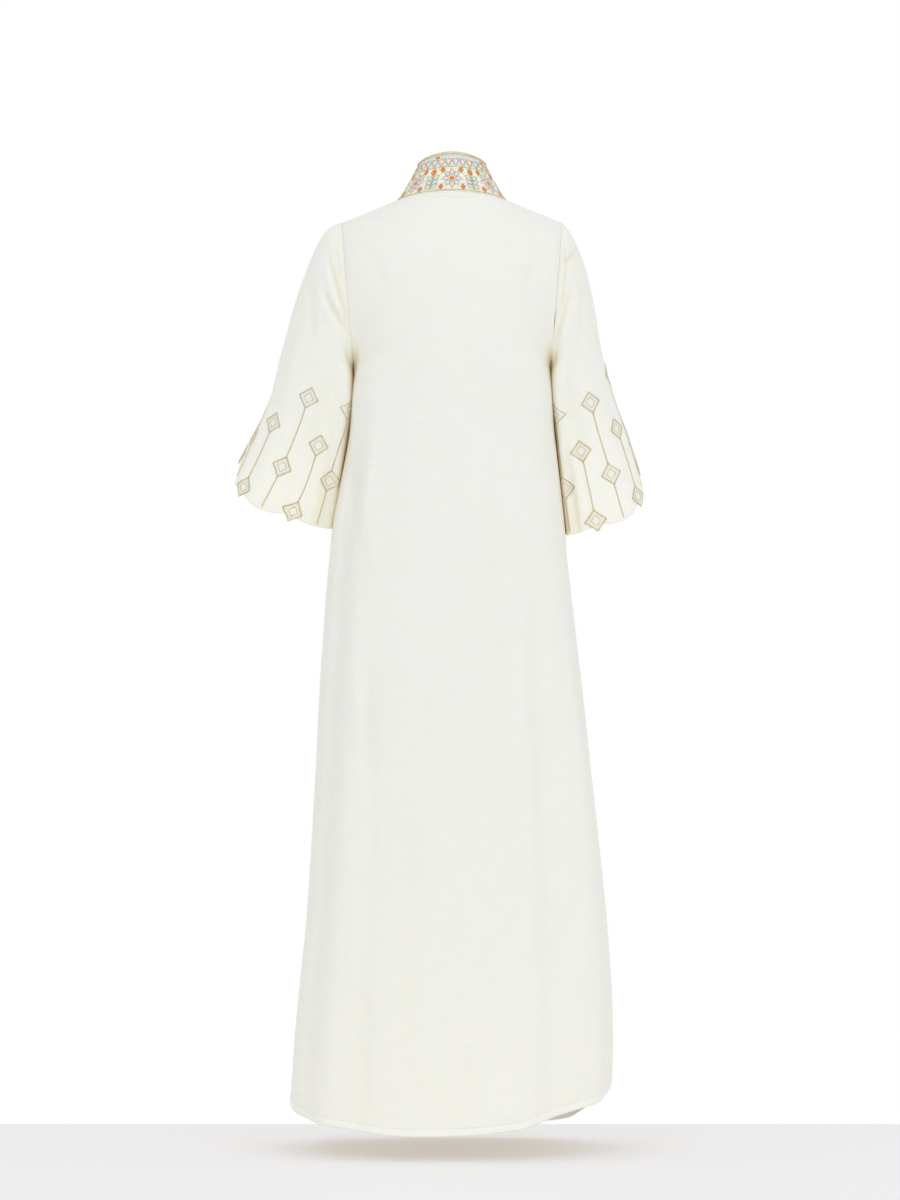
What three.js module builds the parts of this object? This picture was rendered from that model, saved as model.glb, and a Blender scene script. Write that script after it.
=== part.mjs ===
// Jalabiya: a full-length ivory gown with bell sleeves and a tall worked collar, as a hollow worn form.
// Millimetres, +Z up. The front faces -Y, the back +Y, and the wearer's left is +X.
// The origin is the middle of the neck opening, level with the points where the shoulder seams reach it.

import * as THREE from "three";

// ---------------------------------------------------------------- driving sizes

const CLOTH = { body: 1.5, collar: 2.2, seamGap: 0.3 }; // wall thicknesses, and the gap left at every seam

const NECK = { halfWidth: 88, backDepth: 60, frontDepth: 78, napeRise: 11, frontDrop: 72 };
const SLIT = { topHalfGap: 7, footHalfGap: 1.6, footRow: 9 }; // the front opening that lets the head through
const COLLAR = {
  backHeight: 62,
  frontHeight: 58,
  topHalfWidth: 51,
  topBackDepth: 46,
  topFrontDepth: 64,
  hollow: 0.8, // under 1, the collar's sides curve in towards the neck
};
const EDGING = { radius: 2.6, sides: 6 };
// The scallops round each cuff. firstCusp is the length of cuff from the top of the arm to the first cusp.
const SCALLOP = { count: 6, depth: 11, tab: 12, tabHalfWidth: 15, firstCusp: { left: 65, right: 66 } };

// How the cloth falls between its seams.
const DRAPE = {
  seamDip: 3, // the shoulder seam's dip between neck and armhole
  shoulderRoundness: 0.9, // of the line from arm to arm that the cloth settles to
  settle: 6, // a power: how soon below its top edge the cloth is on that line
  centreRidge: 1.12, // a power: over 1, the cloth lies along the shoulder before it falls
  armRidge: 1.75,
  armholeReach: 2, // a power: how near to the armhole the panel turns to meet the sleeve
  underarmReach: 6,
  underarmTurn: 14, // the height in which the side turns out to the sleeve under the arm
  hemLevel: -1460, // where folds have drifted to their places at the hem
  outerTilt: 0.55, // how much more than its middle the outer side of a sleeve takes of the section's tilt
};

// Counts of mesh cells. A panel's columns run from its centre to the neck point, then on to the armhole.
const ACROSS = { neck: 6, shoulder: 5 };
const DOWN = { yoke: 12, skirt: 18, sleeve: 13, collar: 4 };
const SPREAD = { skirt: 1.6, sleeve: 1.15 }; // over 1, the rows are closer together at the top
const AROUND_SLEEVE = 2 * DOWN.yoke; // a sleeve column for every armhole row, front and back
const CUSP_COLUMN = 2; // the sleeve column that ends at the first cusp
const SLIT_SHARE = 1e-3; // how far across the panel the slit's two columns start from

// Level sections of the gown below the armholes. left, right, back and front are reaches from the centre line.
// A squareness of 2 is an ellipse, and more is boxier.
const BODY_SECTIONS = [
  { z: -265, left: 149, right: 151, back: 122, front: 130, squareness: 2.25 },
  { z: -375, left: 161, right: 161, back: 118, front: 132, squareness: 2.3 },
  { z: -533, left: 189, right: 178, back: 123, front: 138, squareness: 2.35 },
  { z: -707, left: 204, right: 198, back: 133, front: 146, squareness: 2.45 },
  { z: -944, left: 217, right: 224, back: 146, front: 157, squareness: 2.5 },
  { z: -1134, left: 229, right: 243, back: 157, front: 167, squareness: 2.5 },
  { z: -1323, left: 247, right: 253, back: 169, front: 179, squareness: 2.45 },
  { z: -1475, left: 257, right: 244, back: 178, front: 188, squareness: 2.4 },
];

// Hem height round each panel. across is 1 at the left side seam, 0 at the centre and -1 at the right.
const HEM = {
  back: [
    { across: -1, z: -1382 },
    { across: -0.8, z: -1402 },
    { across: -0.5, z: -1423 },
    { across: -0.2, z: -1449 },
    { across: 0.12, z: -1458 },
    { across: 0.45, z: -1446 },
    { across: 0.75, z: -1434 },
    { across: 1, z: -1415 },
  ],
  front: [
    { across: -1, z: -1382 },
    { across: -0.76, z: -1424 },
    { across: -0.45, z: -1463 },
    { across: 0, z: -1461 },
    { across: 0.5, z: -1450 },
    { across: 0.8, z: -1435 },
    { across: 1, z: -1415 },
  ],
};

// Soft lengthwise folds. A positive depth stands out, a negative one falls in. Each drifts from across at its
// head to acrossHem at the hem, and is as wide as its half-width either side.
const FOLDS = {
  back: [
    { across: -0.3, acrossHem: -0.24, halfWidth: 0.13, depth: 4, head: -520, full: -820 },
    { across: -0.44, acrossHem: -0.4, halfWidth: 0.15, depth: -10, head: -480, full: -860 },
    { across: -0.7, acrossHem: -0.66, halfWidth: 0.16, depth: 6, head: -560, full: -960 },
    { across: 0.45, acrossHem: 0.5, halfWidth: 0.14, depth: 5, head: -300, full: -470 },
    { across: 0.66, acrossHem: 0.7, halfWidth: 0.13, depth: -6, head: -300, full: -500 },
    { across: 0.34, acrossHem: 0.33, halfWidth: 0.08, depth: -2.5, head: -620, full: -760 },
  ],
  front: [
    { across: -0.52, acrossHem: -0.46, halfWidth: 0.16, depth: 7, head: -420, full: -900 },
    { across: -0.26, acrossHem: -0.22, halfWidth: 0.15, depth: -8, head: -460, full: -940 },
    { across: 0.2, acrossHem: 0.24, halfWidth: 0.14, depth: -7, head: -380, full: -860 },
    { across: 0.44, acrossHem: 0.47, halfWidth: 0.15, depth: 8, head: -400, full: -920 },
    { across: 0.74, acrossHem: 0.72, halfWidth: 0.12, depth: -5, head: -520, full: -980 },
  ],
};

// Sleeve sections from the armhole (along 0) to the cuff (along 1). outer is the top of the arm and inner its
// underside, each as a distance out from the gown's centre and a height. centreY and halfDepth are front to back,
// tilt is how far the section's back hangs below its middle, as its front rises above it, and squareness is as in
// BODY_SECTIONS.
const SLEEVE_SECTIONS = {
  left: [
    { along: 0, outerX: 174, outerZ: -32, innerX: 155, innerZ: -265, centreY: -6, halfDepth: 62, tilt: 0, squareness: 2 },
    { along: 0.06, outerX: 194, outerZ: -39, innerX: 160, innerZ: -271, centreY: -6, halfDepth: 65, tilt: 1, squareness: 2 },
    { along: 0.14, outerX: 213, outerZ: -68, innerX: 160, innerZ: -286, centreY: -7, halfDepth: 67, tilt: 2, squareness: 2.02 },
    { along: 0.26, outerX: 234, outerZ: -117, innerX: 160, innerZ: -306, centreY: -8, halfDepth: 66, tilt: 4, squareness: 2.08 },
    { along: 0.4, outerX: 252, outerZ: -170, innerX: 161, innerZ: -332, centreY: -11, halfDepth: 64, tilt: 8, squareness: 2.2 },
    { along: 0.55, outerX: 271, outerZ: -235, innerX: 165, innerZ: -366, centreY: -18, halfDepth: 62, tilt: 13, squareness: 2.4 },
    { along: 0.7, outerX: 287, outerZ: -296, innerX: 172, innerZ: -409, centreY: -28, halfDepth: 61, tilt: 19, squareness: 2.65 },
    { along: 0.85, outerX: 312, outerZ: -358, innerX: 180, innerZ: -463, centreY: -39, halfDepth: 63, tilt: 26, squareness: 2.9 },
    { along: 1, outerX: 345, outerZ: -423, innerX: 188, innerZ: -511, centreY: -50, halfDepth: 67, tilt: 33, squareness: 3.1 },
  ],
  right: [
    { along: 0, outerX: 174, outerZ: -32, innerX: 155, innerZ: -265, centreY: -6, halfDepth: 62, tilt: 0, squareness: 2 },
    { along: 0.06, outerX: 185, outerZ: -42, innerX: 160, innerZ: -271, centreY: -6, halfDepth: 65, tilt: 1, squareness: 2 },
    { along: 0.14, outerX: 199, outerZ: -72, innerX: 160, innerZ: -286, centreY: -7, halfDepth: 67, tilt: 2, squareness: 2.02 },
    { along: 0.26, outerX: 215, outerZ: -120, innerX: 160, innerZ: -306, centreY: -8, halfDepth: 66, tilt: 4, squareness: 2.08 },
    { along: 0.4, outerX: 227, outerZ: -176, innerX: 162, innerZ: -334, centreY: -11, halfDepth: 65, tilt: 8, squareness: 2.2 },
    { along: 0.55, outerX: 239, outerZ: -238, innerX: 165, innerZ: -370, centreY: -18, halfDepth: 64, tilt: 13, squareness: 2.35 },
    { along: 0.7, outerX: 257, outerZ: -302, innerX: 169, innerZ: -417, centreY: -28, halfDepth: 66, tilt: 20, squareness: 2.5 },
    { along: 0.85, outerX: 282, outerZ: -370, innerX: 174, innerZ: -468, centreY: -39, halfDepth: 70, tilt: 28, squareness: 2.7 },
    { along: 1, outerX: 304, outerZ: -438, innerX: 180, innerZ: -519, centreY: -50, halfDepth: 74, tilt: 37, squareness: 2.9 },
  ],
};

// Bell flutes and drag folds of a sleeve. around is in degrees: 0 is the top of the arm, 90 the back, 180 the
// underarm and 270 the front.
const SLEEVE_FOLDS = [
  { around: 62, halfWidth: 30, depth: 4, head: 0.45, full: 1 },
  { around: 122, halfWidth: 30, depth: -5, head: 0.4, full: 0.95 },
  { around: 205, halfWidth: 28, depth: -4, head: 0.5, full: 1 },
  { around: 250, halfWidth: 32, depth: 5, head: 0.5, full: 1 },
  { around: 312, halfWidth: 30, depth: -4, head: 0.45, full: 1 },
];

// ---------------------------------------------------------------- small helpers

const { lerp, clamp, degToRad, euclideanModulo, smoothstep } = THREE.MathUtils;
const vector = (x, y, z) => new THREE.Vector3(x, y, z);

/** One column of a table at a key's value, on a smooth curve through its rows. */
function columnAt(table, key, value, column) {
  const rising = table[table.length - 1][key] > table[0][key] ? 1 : -1;
  let i = table.findIndex((row) => (row[key] - value) * rising > 0) - 1;
  if (i < -1) i = table.length - 2;
  i = clamp(i, 0, table.length - 2);
  const slope = (a, b) => (table[b][column] - table[a][column]) / (table[b][key] - table[a][key]);
  const here = slope(i, i + 1);
  const before = i > 0 ? (slope(i - 1, i) + here) / 2 : here;
  const after = i + 2 < table.length ? (slope(i + 1, i + 2) + here) / 2 : here;
  const span = table[i + 1][key] - table[i][key];
  const t = (value - table[i][key]) / span;
  if (t <= 0) return table[i][column] + before * span * t;
  if (t >= 1) return table[i + 1][column] + after * span * (t - 1);
  const [t2, t3] = [t * t, t * t * t];
  return (
    table[i][column] * (2 * t3 - 3 * t2 + 1) +
    before * span * (t3 - 2 * t2 + t) +
    table[i + 1][column] * (3 * t2 - 2 * t3) +
    after * span * (t3 - t2)
  );
}

/** A row's named columns at a key's value. */
function rowAt(table, key, value) {
  const columns = Object.keys(table[0]).filter((name) => name !== key);
  return Object.fromEntries(columns.map((name) => [name, columnAt(table, key, value, name)]));
}

/** A soft bump: 1 at the middle, falling to 0 at one half-width either side. */
const bump = (offset, halfWidth) => {
  const share = Math.abs(offset) / halfWidth;
  return share >= 1 ? 0 : (0.5 + 0.5 * Math.cos(Math.PI * share)) ** 1.2;
};

/** A sine or cosine as a section of that squareness has it. */
const rounded = (value, squareness) => Math.sign(value) * Math.abs(value) ** (2 / squareness);

/** How much of a fold shows at a place between its head and where it is full. */
const fade = (place, head, full) => smoothstep((place - head) / (full - head), 0, 1);

// ---------------------------------------------------------------- the sleeves' form

/** A point of a sleeve. around is in degrees from the top of the arm, by the back. */
function sleevePoint(side, around, along) {
  const s = rowAt(SLEEVE_SECTIONS[side], "along", along);
  const angle = degToRad(around);
  const toOuter = rounded(Math.cos(angle), s.squareness);
  const toBack = rounded(Math.sin(angle), s.squareness);
  let swell = 0;
  for (const f of SLEEVE_FOLDS) {
    swell += f.depth * bump(euclideanModulo(around, 360) - f.around, f.halfWidth) * fade(along, f.head, f.full);
  }
  const half = Math.hypot(s.outerX - s.innerX, s.outerZ - s.innerZ) / 2;
  const outX = (s.outerX - s.innerX) / (2 * half);
  const outZ = (s.outerZ - s.innerZ) / (2 * half);
  const out = (half + swell) * toOuter;
  const x = (s.outerX + s.innerX) / 2 + out * outX;
  const z = (s.outerZ + s.innerZ) / 2 + out * outZ - s.tilt * toBack * (1 + DRAPE.outerTilt * toOuter);
  const y = s.centreY + (s.halfDepth + swell) * toBack;
  return vector(side === "left" ? x : -x, y, z);
}

/** A sleeve's columns at the cuff, evenly spaced along the cloth with a cusp on every one that ends a scallop. */
function cuffColumns(side) {
  const lengths = [0];
  for (let around = 1; around <= 360; around++) {
    const step = sleevePoint(side, around, 1).distanceTo(sleevePoint(side, around - 1, 1));
    lengths.push(lengths[around - 1] + step);
  }
  const whole = lengths[360];
  const pitch = whole / SCALLOP.count;
  return Array.from({ length: AROUND_SLEEVE }, (_, column) => {
    const length = SCALLOP.firstCusp[side] + ((column - CUSP_COLUMN) * whole) / AROUND_SLEEVE;
    const turned = euclideanModulo(length, whole);
    const after = lengths.findIndex((total) => total > turned);
    const share = (turned - lengths[after - 1]) / (lengths[after] - lengths[after - 1]);
    const fromCusp = euclideanModulo(length - SCALLOP.firstCusp[side], pitch);
    return {
      around: after - 1 + share + 360 * Math.floor(length / whole),
      along: cuffAlong(side, after - 1 + share, Math.min(fromCusp, pitch - fromCusp) / pitch, pitch),
    };
  });
}

/** The place along the sleeve where the cuff ends: shallow scallops, with a pointed tab at each cusp between them. */
function cuffAlong(side, around, offset, pitch) {
  const arc = SCALLOP.depth * Math.sin(Math.PI * offset) ** 0.7;
  const tab = SCALLOP.tab * (1 - (offset * pitch) / SCALLOP.tabHalfWidth);
  const step = 0.05;
  const length = sleevePoint(side, around, 1).distanceTo(sleevePoint(side, around, 1 - step)) / step;
  return 1 + (Math.max(arc, tab) - SCALLOP.depth) / length;
}

// ---------------------------------------------------------------- the gown's form

/** The neckline. turn is 0 at the neck point and 1 at the centre; facing is 1 at the back, -1 at the front. */
function neckPoint(facing, hand, turn) {
  const angle = (turn * Math.PI) / 2;
  const x = hand * NECK.halfWidth * Math.cos(angle);
  if (facing > 0) return vector(x, NECK.backDepth * Math.sin(angle), NECK.napeRise * Math.sin(angle) ** 2);
  return vector(x, -NECK.frontDepth * Math.sin(angle), -NECK.frontDrop * Math.sin(angle) ** 1.5);
}

/** The top edge of a panel: the neckline, then the shoulder seam out to the sleeve. */
function topPoint(facing, across) {
  const neckShare = ACROSS.neck / (ACROSS.neck + ACROSS.shoulder);
  const hand = Math.sign(across) || 1;
  const reach = Math.abs(across);
  if (reach <= neckShare) return neckPoint(facing, hand, 1 - reach / neckShare);
  const tip = sleevePoint(hand > 0 ? "left" : "right", 0, 0);
  const share = (reach - neckShare) / (1 - neckShare);
  const point = neckPoint(facing, hand, 0).lerp(tip, share);
  point.z -= DRAPE.seamDip * Math.sin(Math.PI * share);
  return point;
}

/** A point of the gown at or below the underarm, with its folds. */
function skirtPoint(facing, across, z) {
  const s = rowAt(BODY_SECTIONS, "z", z);
  const name = facing > 0 ? "back" : "front";
  const angle = (across * Math.PI) / 2;
  const power = 2 / s.squareness;
  let swell = 0;
  for (const f of FOLDS[name]) {
    const drift = smoothstep(-z, -f.head, -DRAPE.hemLevel);
    const middle = lerp(f.across, f.acrossHem, drift);
    swell += f.depth * bump(across - middle, f.halfWidth) * fade(-z, -f.head, -f.full);
  }
  const sine = Math.sin(Math.abs(angle));
  const width = across > 0 ? s.left : s.right;
  const underarm = SLEEVE_SECTIONS.left[0];
  const turn = clamp(1 - (underarm.innerZ - z) / DRAPE.underarmTurn, 0, 1) ** 2;
  const flare = (underarm.innerX - width) * Math.abs(across) ** 10 * turn;
  const x = Math.sign(across) * (width * sine ** power + flare + swell * sine);
  const y = facing * (s[name] * Math.max(Math.cos(angle), 0) ** power + swell * Math.cos(angle));
  return vector(x, y, z);
}

/** The smooth line from arm to arm that a panel's cloth settles to, just below its cornered top edge. */
function shoulderLine(facing, across) {
  const tip = topPoint(facing, Math.sign(across) || 1);
  const centre = topPoint(facing, 0);
  const angle = (Math.abs(across) * Math.PI) / 2;
  const nearCentre = Math.cos(angle);
  return vector(
    tip.x * Math.sin(angle) ** DRAPE.shoulderRoundness,
    lerp(tip.y, centre.y, nearCentre),
    lerp(tip.z, centre.z, nearCentre),
  );
}

/** A point of the gown above the underarm. down is 0 at the top edge and 1 level with the underarm. */
function yokePoint(facing, across, down) {
  const underarmZ = SLEEVE_SECTIONS.left[0].innerZ;
  const drape = (share) => {
    const line = shoulderLine(facing, share);
    const chest = skirtPoint(facing, share, underarmZ);
    const ridge = lerp(DRAPE.centreRidge, DRAPE.armRidge, Math.abs(share) ** 1.5);
    const settled = vector(
      lerp(line.x, chest.x, down),
      lerp(line.y, chest.y, 1 - (1 - down) ** 2),
      lerp(line.z, chest.z, down ** ridge),
    );
    return settled.addScaledVector(topPoint(facing, share).sub(line), (1 - down) ** DRAPE.settle);
  };
  const hand = Math.sign(across) || 1;
  const around = facing > 0 ? 180 * down : 360 - 180 * down;
  const armhole = sleevePoint(hand > 0 ? "left" : "right", around, 0);
  const pull = armhole.sub(drape(hand)); // what carries the drape's edge out to the armhole
  const reach = lerp(DRAPE.armholeReach, DRAPE.underarmReach, down ** 3);
  return drape(across).addScaledVector(pull, Math.abs(across) ** reach);
}

// ---------------------------------------------------------------- grids of points

/** Shares across a panel, from its left edge to its right. The front's two middle ones are the slit's edges. */
function acrossShares(facing) {
  const n = ACROSS.neck + ACROSS.shoulder;
  const half = Array.from({ length: n }, (_, i) => 1 - i / n);
  const middle = facing > 0 ? [0] : [SLIT_SHARE, -SLIT_SHARE];
  return [...half, ...middle, ...half.map((share) => -share).reverse()];
}

/** A panel's rows of points, from its top edge to the hem. */
function panelGrid(facing) {
  const hem = facing > 0 ? HEM.back : HEM.front;
  const underarmZ = SLEEVE_SECTIONS.left[0].innerZ;
  const shares = acrossShares(facing);
  const rows = [];
  for (let i = 0; i <= DOWN.yoke; i++) rows.push(shares.map((a) => yokePoint(facing, a, i / DOWN.yoke)));
  for (let i = 1; i <= DOWN.skirt; i++) {
    const drop = (i / DOWN.skirt) ** SPREAD.skirt;
    rows.push(shares.map((a) => skirtPoint(facing, a, lerp(underarmZ, columnAt(hem, "across", a, "z"), drop))));
  }
  if (facing < 0) {
    const middle = shares.length / 2;
    rows.forEach((row, i) => {
      const open = clamp(i / SLIT.footRow, 0, 1);
      const halfGap = lerp(SLIT.topHalfGap, SLIT.footHalfGap, open);
      row[middle - 1].x = halfGap;
      row[middle].x = -halfGap;
    });
  }
  return rows;
}

/** A sleeve's rings of points, from the armhole to the cuff. */
function sleeveGrid(side) {
  const cuff = cuffColumns(side);
  return Array.from({ length: DOWN.sleeve + 1 }, (_, i) => {
    const share = (i / DOWN.sleeve) ** SPREAD.sleeve;
    return cuff.map((end, column) => {
      const around = lerp((360 * column) / AROUND_SLEEVE, end.around, share);
      return sleevePoint(side, around, end.along * share);
    });
  });
}

/** The collar's rows of points, from the neck seam up. Its columns are the panels' own neckline columns. */
function collarGrid(panels) {
  const across = (rows, from, to) => rows[0].slice(from, to + 1);
  const back = across(panels.back, ACROSS.shoulder, ACROSS.shoulder + 2 * ACROSS.neck);
  const frontLeft = across(panels.front, ACROSS.shoulder, ACROSS.shoulder + ACROSS.neck).reverse();
  const frontRight = across(
    panels.front,
    ACROSS.shoulder + ACROSS.neck + 1,
    ACROSS.shoulder + 2 * ACROSS.neck + 1,
  ).reverse();
  const base = [...frontLeft, ...back.slice(1, -1), ...frontRight];
  const narrow = COLLAR.topHalfWidth / NECK.halfWidth;
  return Array.from({ length: DOWN.collar + 1 }, (_, i) => {
    const rise = i / DOWN.collar;
    const turnIn = rise ** COLLAR.hollow;
    return base.map((p) => {
      const atBack = p.y > 0;
      const shallow = atBack ? COLLAR.topBackDepth / NECK.backDepth : COLLAR.topFrontDepth / NECK.frontDepth;
      const height = atBack ? COLLAR.backHeight : COLLAR.frontHeight;
      return vector(p.x * lerp(1, narrow, turnIn), p.y * lerp(1, shallow, turnIn), p.z + height * rise);
    });
  });
}

// ---------------------------------------------------------------- solids from grids

/** Normals of a grid's points, on the cloth's right side. rightSide says which way that faces at one point. */
function gridNormals(rows, ring, rightSide) {
  const count = rows[0].length;
  const last = { row: rows.length - 1, column: count - 1 };
  const column = (i, j) => rows[i][ring ? (j + count) % count : clamp(j, 0, last.column)];
  const normals = rows.map((row, i) =>
    row.map((_, j) => {
      const down = vector().subVectors(rows[Math.min(i + 1, last.row)][j], rows[Math.max(i - 1, 0)][j]);
      const along = vector().subVectors(column(i, j + 1), column(i, j - 1));
      return along.cross(down).normalize();
    }),
  );
  const [i, j] = rightSide.at;
  if (normals[i][j].dot(rightSide.direction) < 0) normals.forEach((row) => row.forEach((n) => n.negate()));
  return normals;
}

const keyOf = (p) => [p.x, p.y, p.z].map((v) => Math.round(v * 100)).join();

/** Where pieces share edge points, gives those points one normal, so that the walls meet face to face. */
function shareSeamNormals(pieces) {
  const sums = new Map();
  const eachEdgePoint = (visit) => {
    for (const piece of pieces) {
      piece.rows.forEach((row, i) =>
        row.forEach((p, j) => {
          const onEdge = i === 0 || (!piece.ring && (j === 0 || j === row.length - 1));
          if (onEdge) visit(keyOf(p), piece.normals[i], j);
        }),
      );
    }
  };
  eachEdgePoint((key, normals, j) => sums.set(key, (sums.get(key) ?? vector(0, 0, 0)).add(normals[j])));
  eachEdgePoint((key, normals, j) => normals[j].copy(sums.get(key)).normalize());
}

/** The grid with its seam edges drawn back by half the seam gap, square to each seam and along the cloth. */
function trimmedRows(piece) {
  const { rows, normals, ring } = piece;
  const last = { row: rows.length - 1, column: rows[0].length - 1 };
  return rows.map((row, i) =>
    row.map((p, j) => {
      const squares = [];
      const addSeam = (neighbour, inner) => {
        const square = neighbour.clone().sub(p).cross(normals[i][j]).normalize();
        if (square.dot(inner.clone().sub(p)) < 0) square.negate();
        squares.push(square);
      };
      if (i === 0) {
        if (ring || j > 0) addSeam(row[(j + row.length - 1) % row.length], rows[1][j]);
        if (ring || j < last.column) addSeam(row[(j + 1) % row.length], rows[1][j]);
      }
      if (!ring && (j === 0 || j === last.column)) {
        const inner = row[j === 0 ? 1 : last.column - 1];
        if (i > 0) addSeam(rows[i - 1][j], inner);
        if (i < last.row) addSeam(rows[i + 1][j], inner);
      }
      if (!squares.length) return p.clone();
      // Where two seam edges meet, the mitred corner is half the gap from both.
      const [a, b] = [squares[0], squares[squares.length - 1]];
      return p.clone().add(a.clone().add(b).multiplyScalar(CLOTH.seamGap / 2 / (1 + a.dot(b))));
    }),
  );
}

// The two rims at a seam are split alike: from the outer corner that lies further along this direction.
const RIM_SPLIT = vector(0.53, 0.17, 0.83);

/** A closed wall of cloth. hasCell says whether the cell below and after a grid point is cloth. */
function clothWall(piece, thickness, hasCell = () => true) {
  const rows = trimmedRows(piece);
  const columns = rows[0].length;
  const cellColumns = piece.ring ? columns : columns - 1;
  const positions = [];
  for (const side of [0.5, -0.5]) {
    rows.forEach((row, i) =>
      row.forEach((p, j) => positions.push(...p.clone().addScaledVector(piece.normals[i][j], side * thickness))),
    );
  }
  const outer = (i, j) => i * columns + (j % columns);
  const inner = (i, j) => outer(i, j) + rows.length * columns;
  const point = (k) => vector().fromArray(positions, 3 * k);
  const faces = [];
  const split = (a, b, c, d, alongFirst) => faces.push(...(alongFirst ? [a, b, c, a, c, d] : [a, b, d, b, c, d]));
  const quad = (a, b, c, d) => split(a, b, c, d, point(a).distanceTo(point(c)) <= point(b).distanceTo(point(d)));
  const rimQuad = (a, b, c, d) => split(a, b, c, d, point(a).sub(point(b)).dot(RIM_SPLIT) > 0);
  const filled = (i, j) => {
    const inGrid = i >= 0 && i < rows.length - 1 && (piece.ring || (j >= 0 && j < cellColumns));
    return inGrid && hasCell(i, (j + cellColumns) % cellColumns);
  };
  for (let i = 0; i < rows.length - 1; i++) {
    for (let j = 0; j < cellColumns; j++) {
      if (!filled(i, j)) continue;
      quad(outer(i, j), outer(i + 1, j), outer(i + 1, j + 1), outer(i, j + 1));
      quad(inner(i, j), inner(i, j + 1), inner(i + 1, j + 1), inner(i + 1, j));
      const rim = (i0, j0, i1, j1) => rimQuad(outer(i0, j0), outer(i1, j1), inner(i1, j1), inner(i0, j0));
      if (!filled(i - 1, j)) rim(i, j, i, j + 1);
      if (!filled(i + 1, j)) rim(i + 1, j + 1, i + 1, j);
      if (!filled(i, j - 1)) rim(i + 1, j, i, j);
      if (!filled(i, j + 1)) rim(i, j + 1, i + 1, j + 1);
    }
  }
  return closedGeometry(positions, faces);
}

/** A geometry from positions and faces, with the faces turned so that it encloses a positive volume. */
function closedGeometry(positions, faces) {
  const at = (k) => vector().fromArray(positions, 3 * k);
  let volume = 0;
  for (let k = 0; k < faces.length; k += 3) volume += at(faces[k]).dot(at(faces[k + 1]).cross(at(faces[k + 2])));
  if (volume < 0) {
    for (let k = 0; k < faces.length; k += 3) [faces[k + 1], faces[k + 2]] = [faces[k + 2], faces[k + 1]];
  }
  const geometry = new THREE.BufferGeometry();
  geometry.setAttribute("position", new THREE.Float32BufferAttribute(positions, 3));
  geometry.setIndex(faces);
  geometry.computeVertexNormals();
  return geometry;
}

/** A closed rod of a few sides that follows a row of points, lifted clear of the edge that it is sewn to. */
function edgingRod(points, normals) {
  const { radius, sides } = EDGING;
  const positions = [];
  points.forEach((p, i) => {
    const along = points[Math.min(i + 1, points.length - 1)].clone().sub(points[Math.max(i - 1, 0)]);
    const up = along.cross(normals[i]).normalize();
    if (up.z < 0) up.negate();
    const centre = p.clone().addScaledVector(up, radius + CLOTH.seamGap);
    for (let k = 0; k < sides; k++) {
      const angle = (2 * Math.PI * (k + 0.5)) / sides;
      positions.push(
        ...centre
          .clone()
          .addScaledVector(normals[i], radius * Math.cos(angle))
          .addScaledVector(up, radius * Math.sin(angle)),
      );
    }
  });
  const faces = [];
  const last = points.length - 1;
  for (let i = 0; i < last; i++) {
    for (let k = 0; k < sides; k++) {
      const [a, b] = [i * sides + k, i * sides + ((k + 1) % sides)];
      faces.push(a, b, b + sides, a, b + sides, a + sides);
    }
  }
  for (let k = 1; k < sides - 1; k++) {
    faces.push(0, k + 1, k, last * sides, last * sides + k, last * sides + k + 1);
  }
  return closedGeometry(positions, faces);
}

// ---------------------------------------------------------------- the pieces

const FINISH = {
  cloth: { color: 0xecebe1, roughness: 0.85, metalness: 0 },
  worked: { color: 0xe6ddc6, roughness: 0.7, metalness: 0 },
  edging: { color: 0xcfc08c, roughness: 0.45, metalness: 0.3 },
};

/** A piece of cloth: its rows of points, their normals, and whether the rows close into rings. */
function piece(rows, ring, rightSide) {
  return { rows, ring, normals: gridNormals(rows, ring, rightSide) };
}

function named(name, geometry, finish) {
  const mesh = new THREE.Mesh(geometry, new THREE.MeshStandardMaterial(finish));
  mesh.name = name;
  return mesh;
}

const panels = { back: panelGrid(1), front: panelGrid(-1) };
const middle = ACROSS.neck + ACROSS.shoulder;
const chest = DOWN.yoke;

const back = piece(panels.back, false, { at: [chest, middle], direction: vector(0, 1, 0) });
const front = piece(panels.front, false, { at: [chest, middle], direction: vector(0, -1, 0) });
const left = piece(sleeveGrid("left"), true, { at: [DOWN.sleeve, 0], direction: vector(1, 0, 0) });
const right = piece(sleeveGrid("right"), true, { at: [DOWN.sleeve, 0], direction: vector(-1, 0, 0) });
const collar = piece(collarGrid(panels), false, { at: [1, 2 * ACROSS.neck], direction: vector(0, 1, 0) });
shareSeamNormals([back, front, left, right, collar]);

const slitIsOpen = (i, j) => i < SLIT.footRow && j === middle;
const collarTop = DOWN.collar;

const jalabiya = new THREE.Group();
jalabiya.add(
  named("back_panel", clothWall(back, CLOTH.body), FINISH.cloth),
  named("front_panel", clothWall(front, CLOTH.body, (i, j) => !slitIsOpen(i, j)), FINISH.cloth),
  named("sleeve_left", clothWall(left, CLOTH.body), FINISH.cloth),
  named("sleeve_right", clothWall(right, CLOTH.body), FINISH.cloth),
  named("collar", clothWall(collar, CLOTH.collar), FINISH.worked),
  named("collar_edge", edgingRod(collar.rows[collarTop], collar.normals[collarTop]), FINISH.edging),
);

export default jalabiya;
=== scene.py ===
"""A full-length ivory linen jalabiya with bell sleeves and a tall worked collar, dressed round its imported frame.

Forms are worked out in millimetres, in the frame's own axes, and meshes are made in metres: +Z is up, the front
faces -Y, and the wearer's left is +X.
"""

import sys
import logging
import math
from bisect import bisect_right
from collections.abc import Callable, Sequence
from dataclasses import dataclass
from enum import Enum
from functools import cached_property, lru_cache
from itertools import accumulate

import bmesh
import bpy
from mathutils import Matrix, Vector, noise


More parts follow.
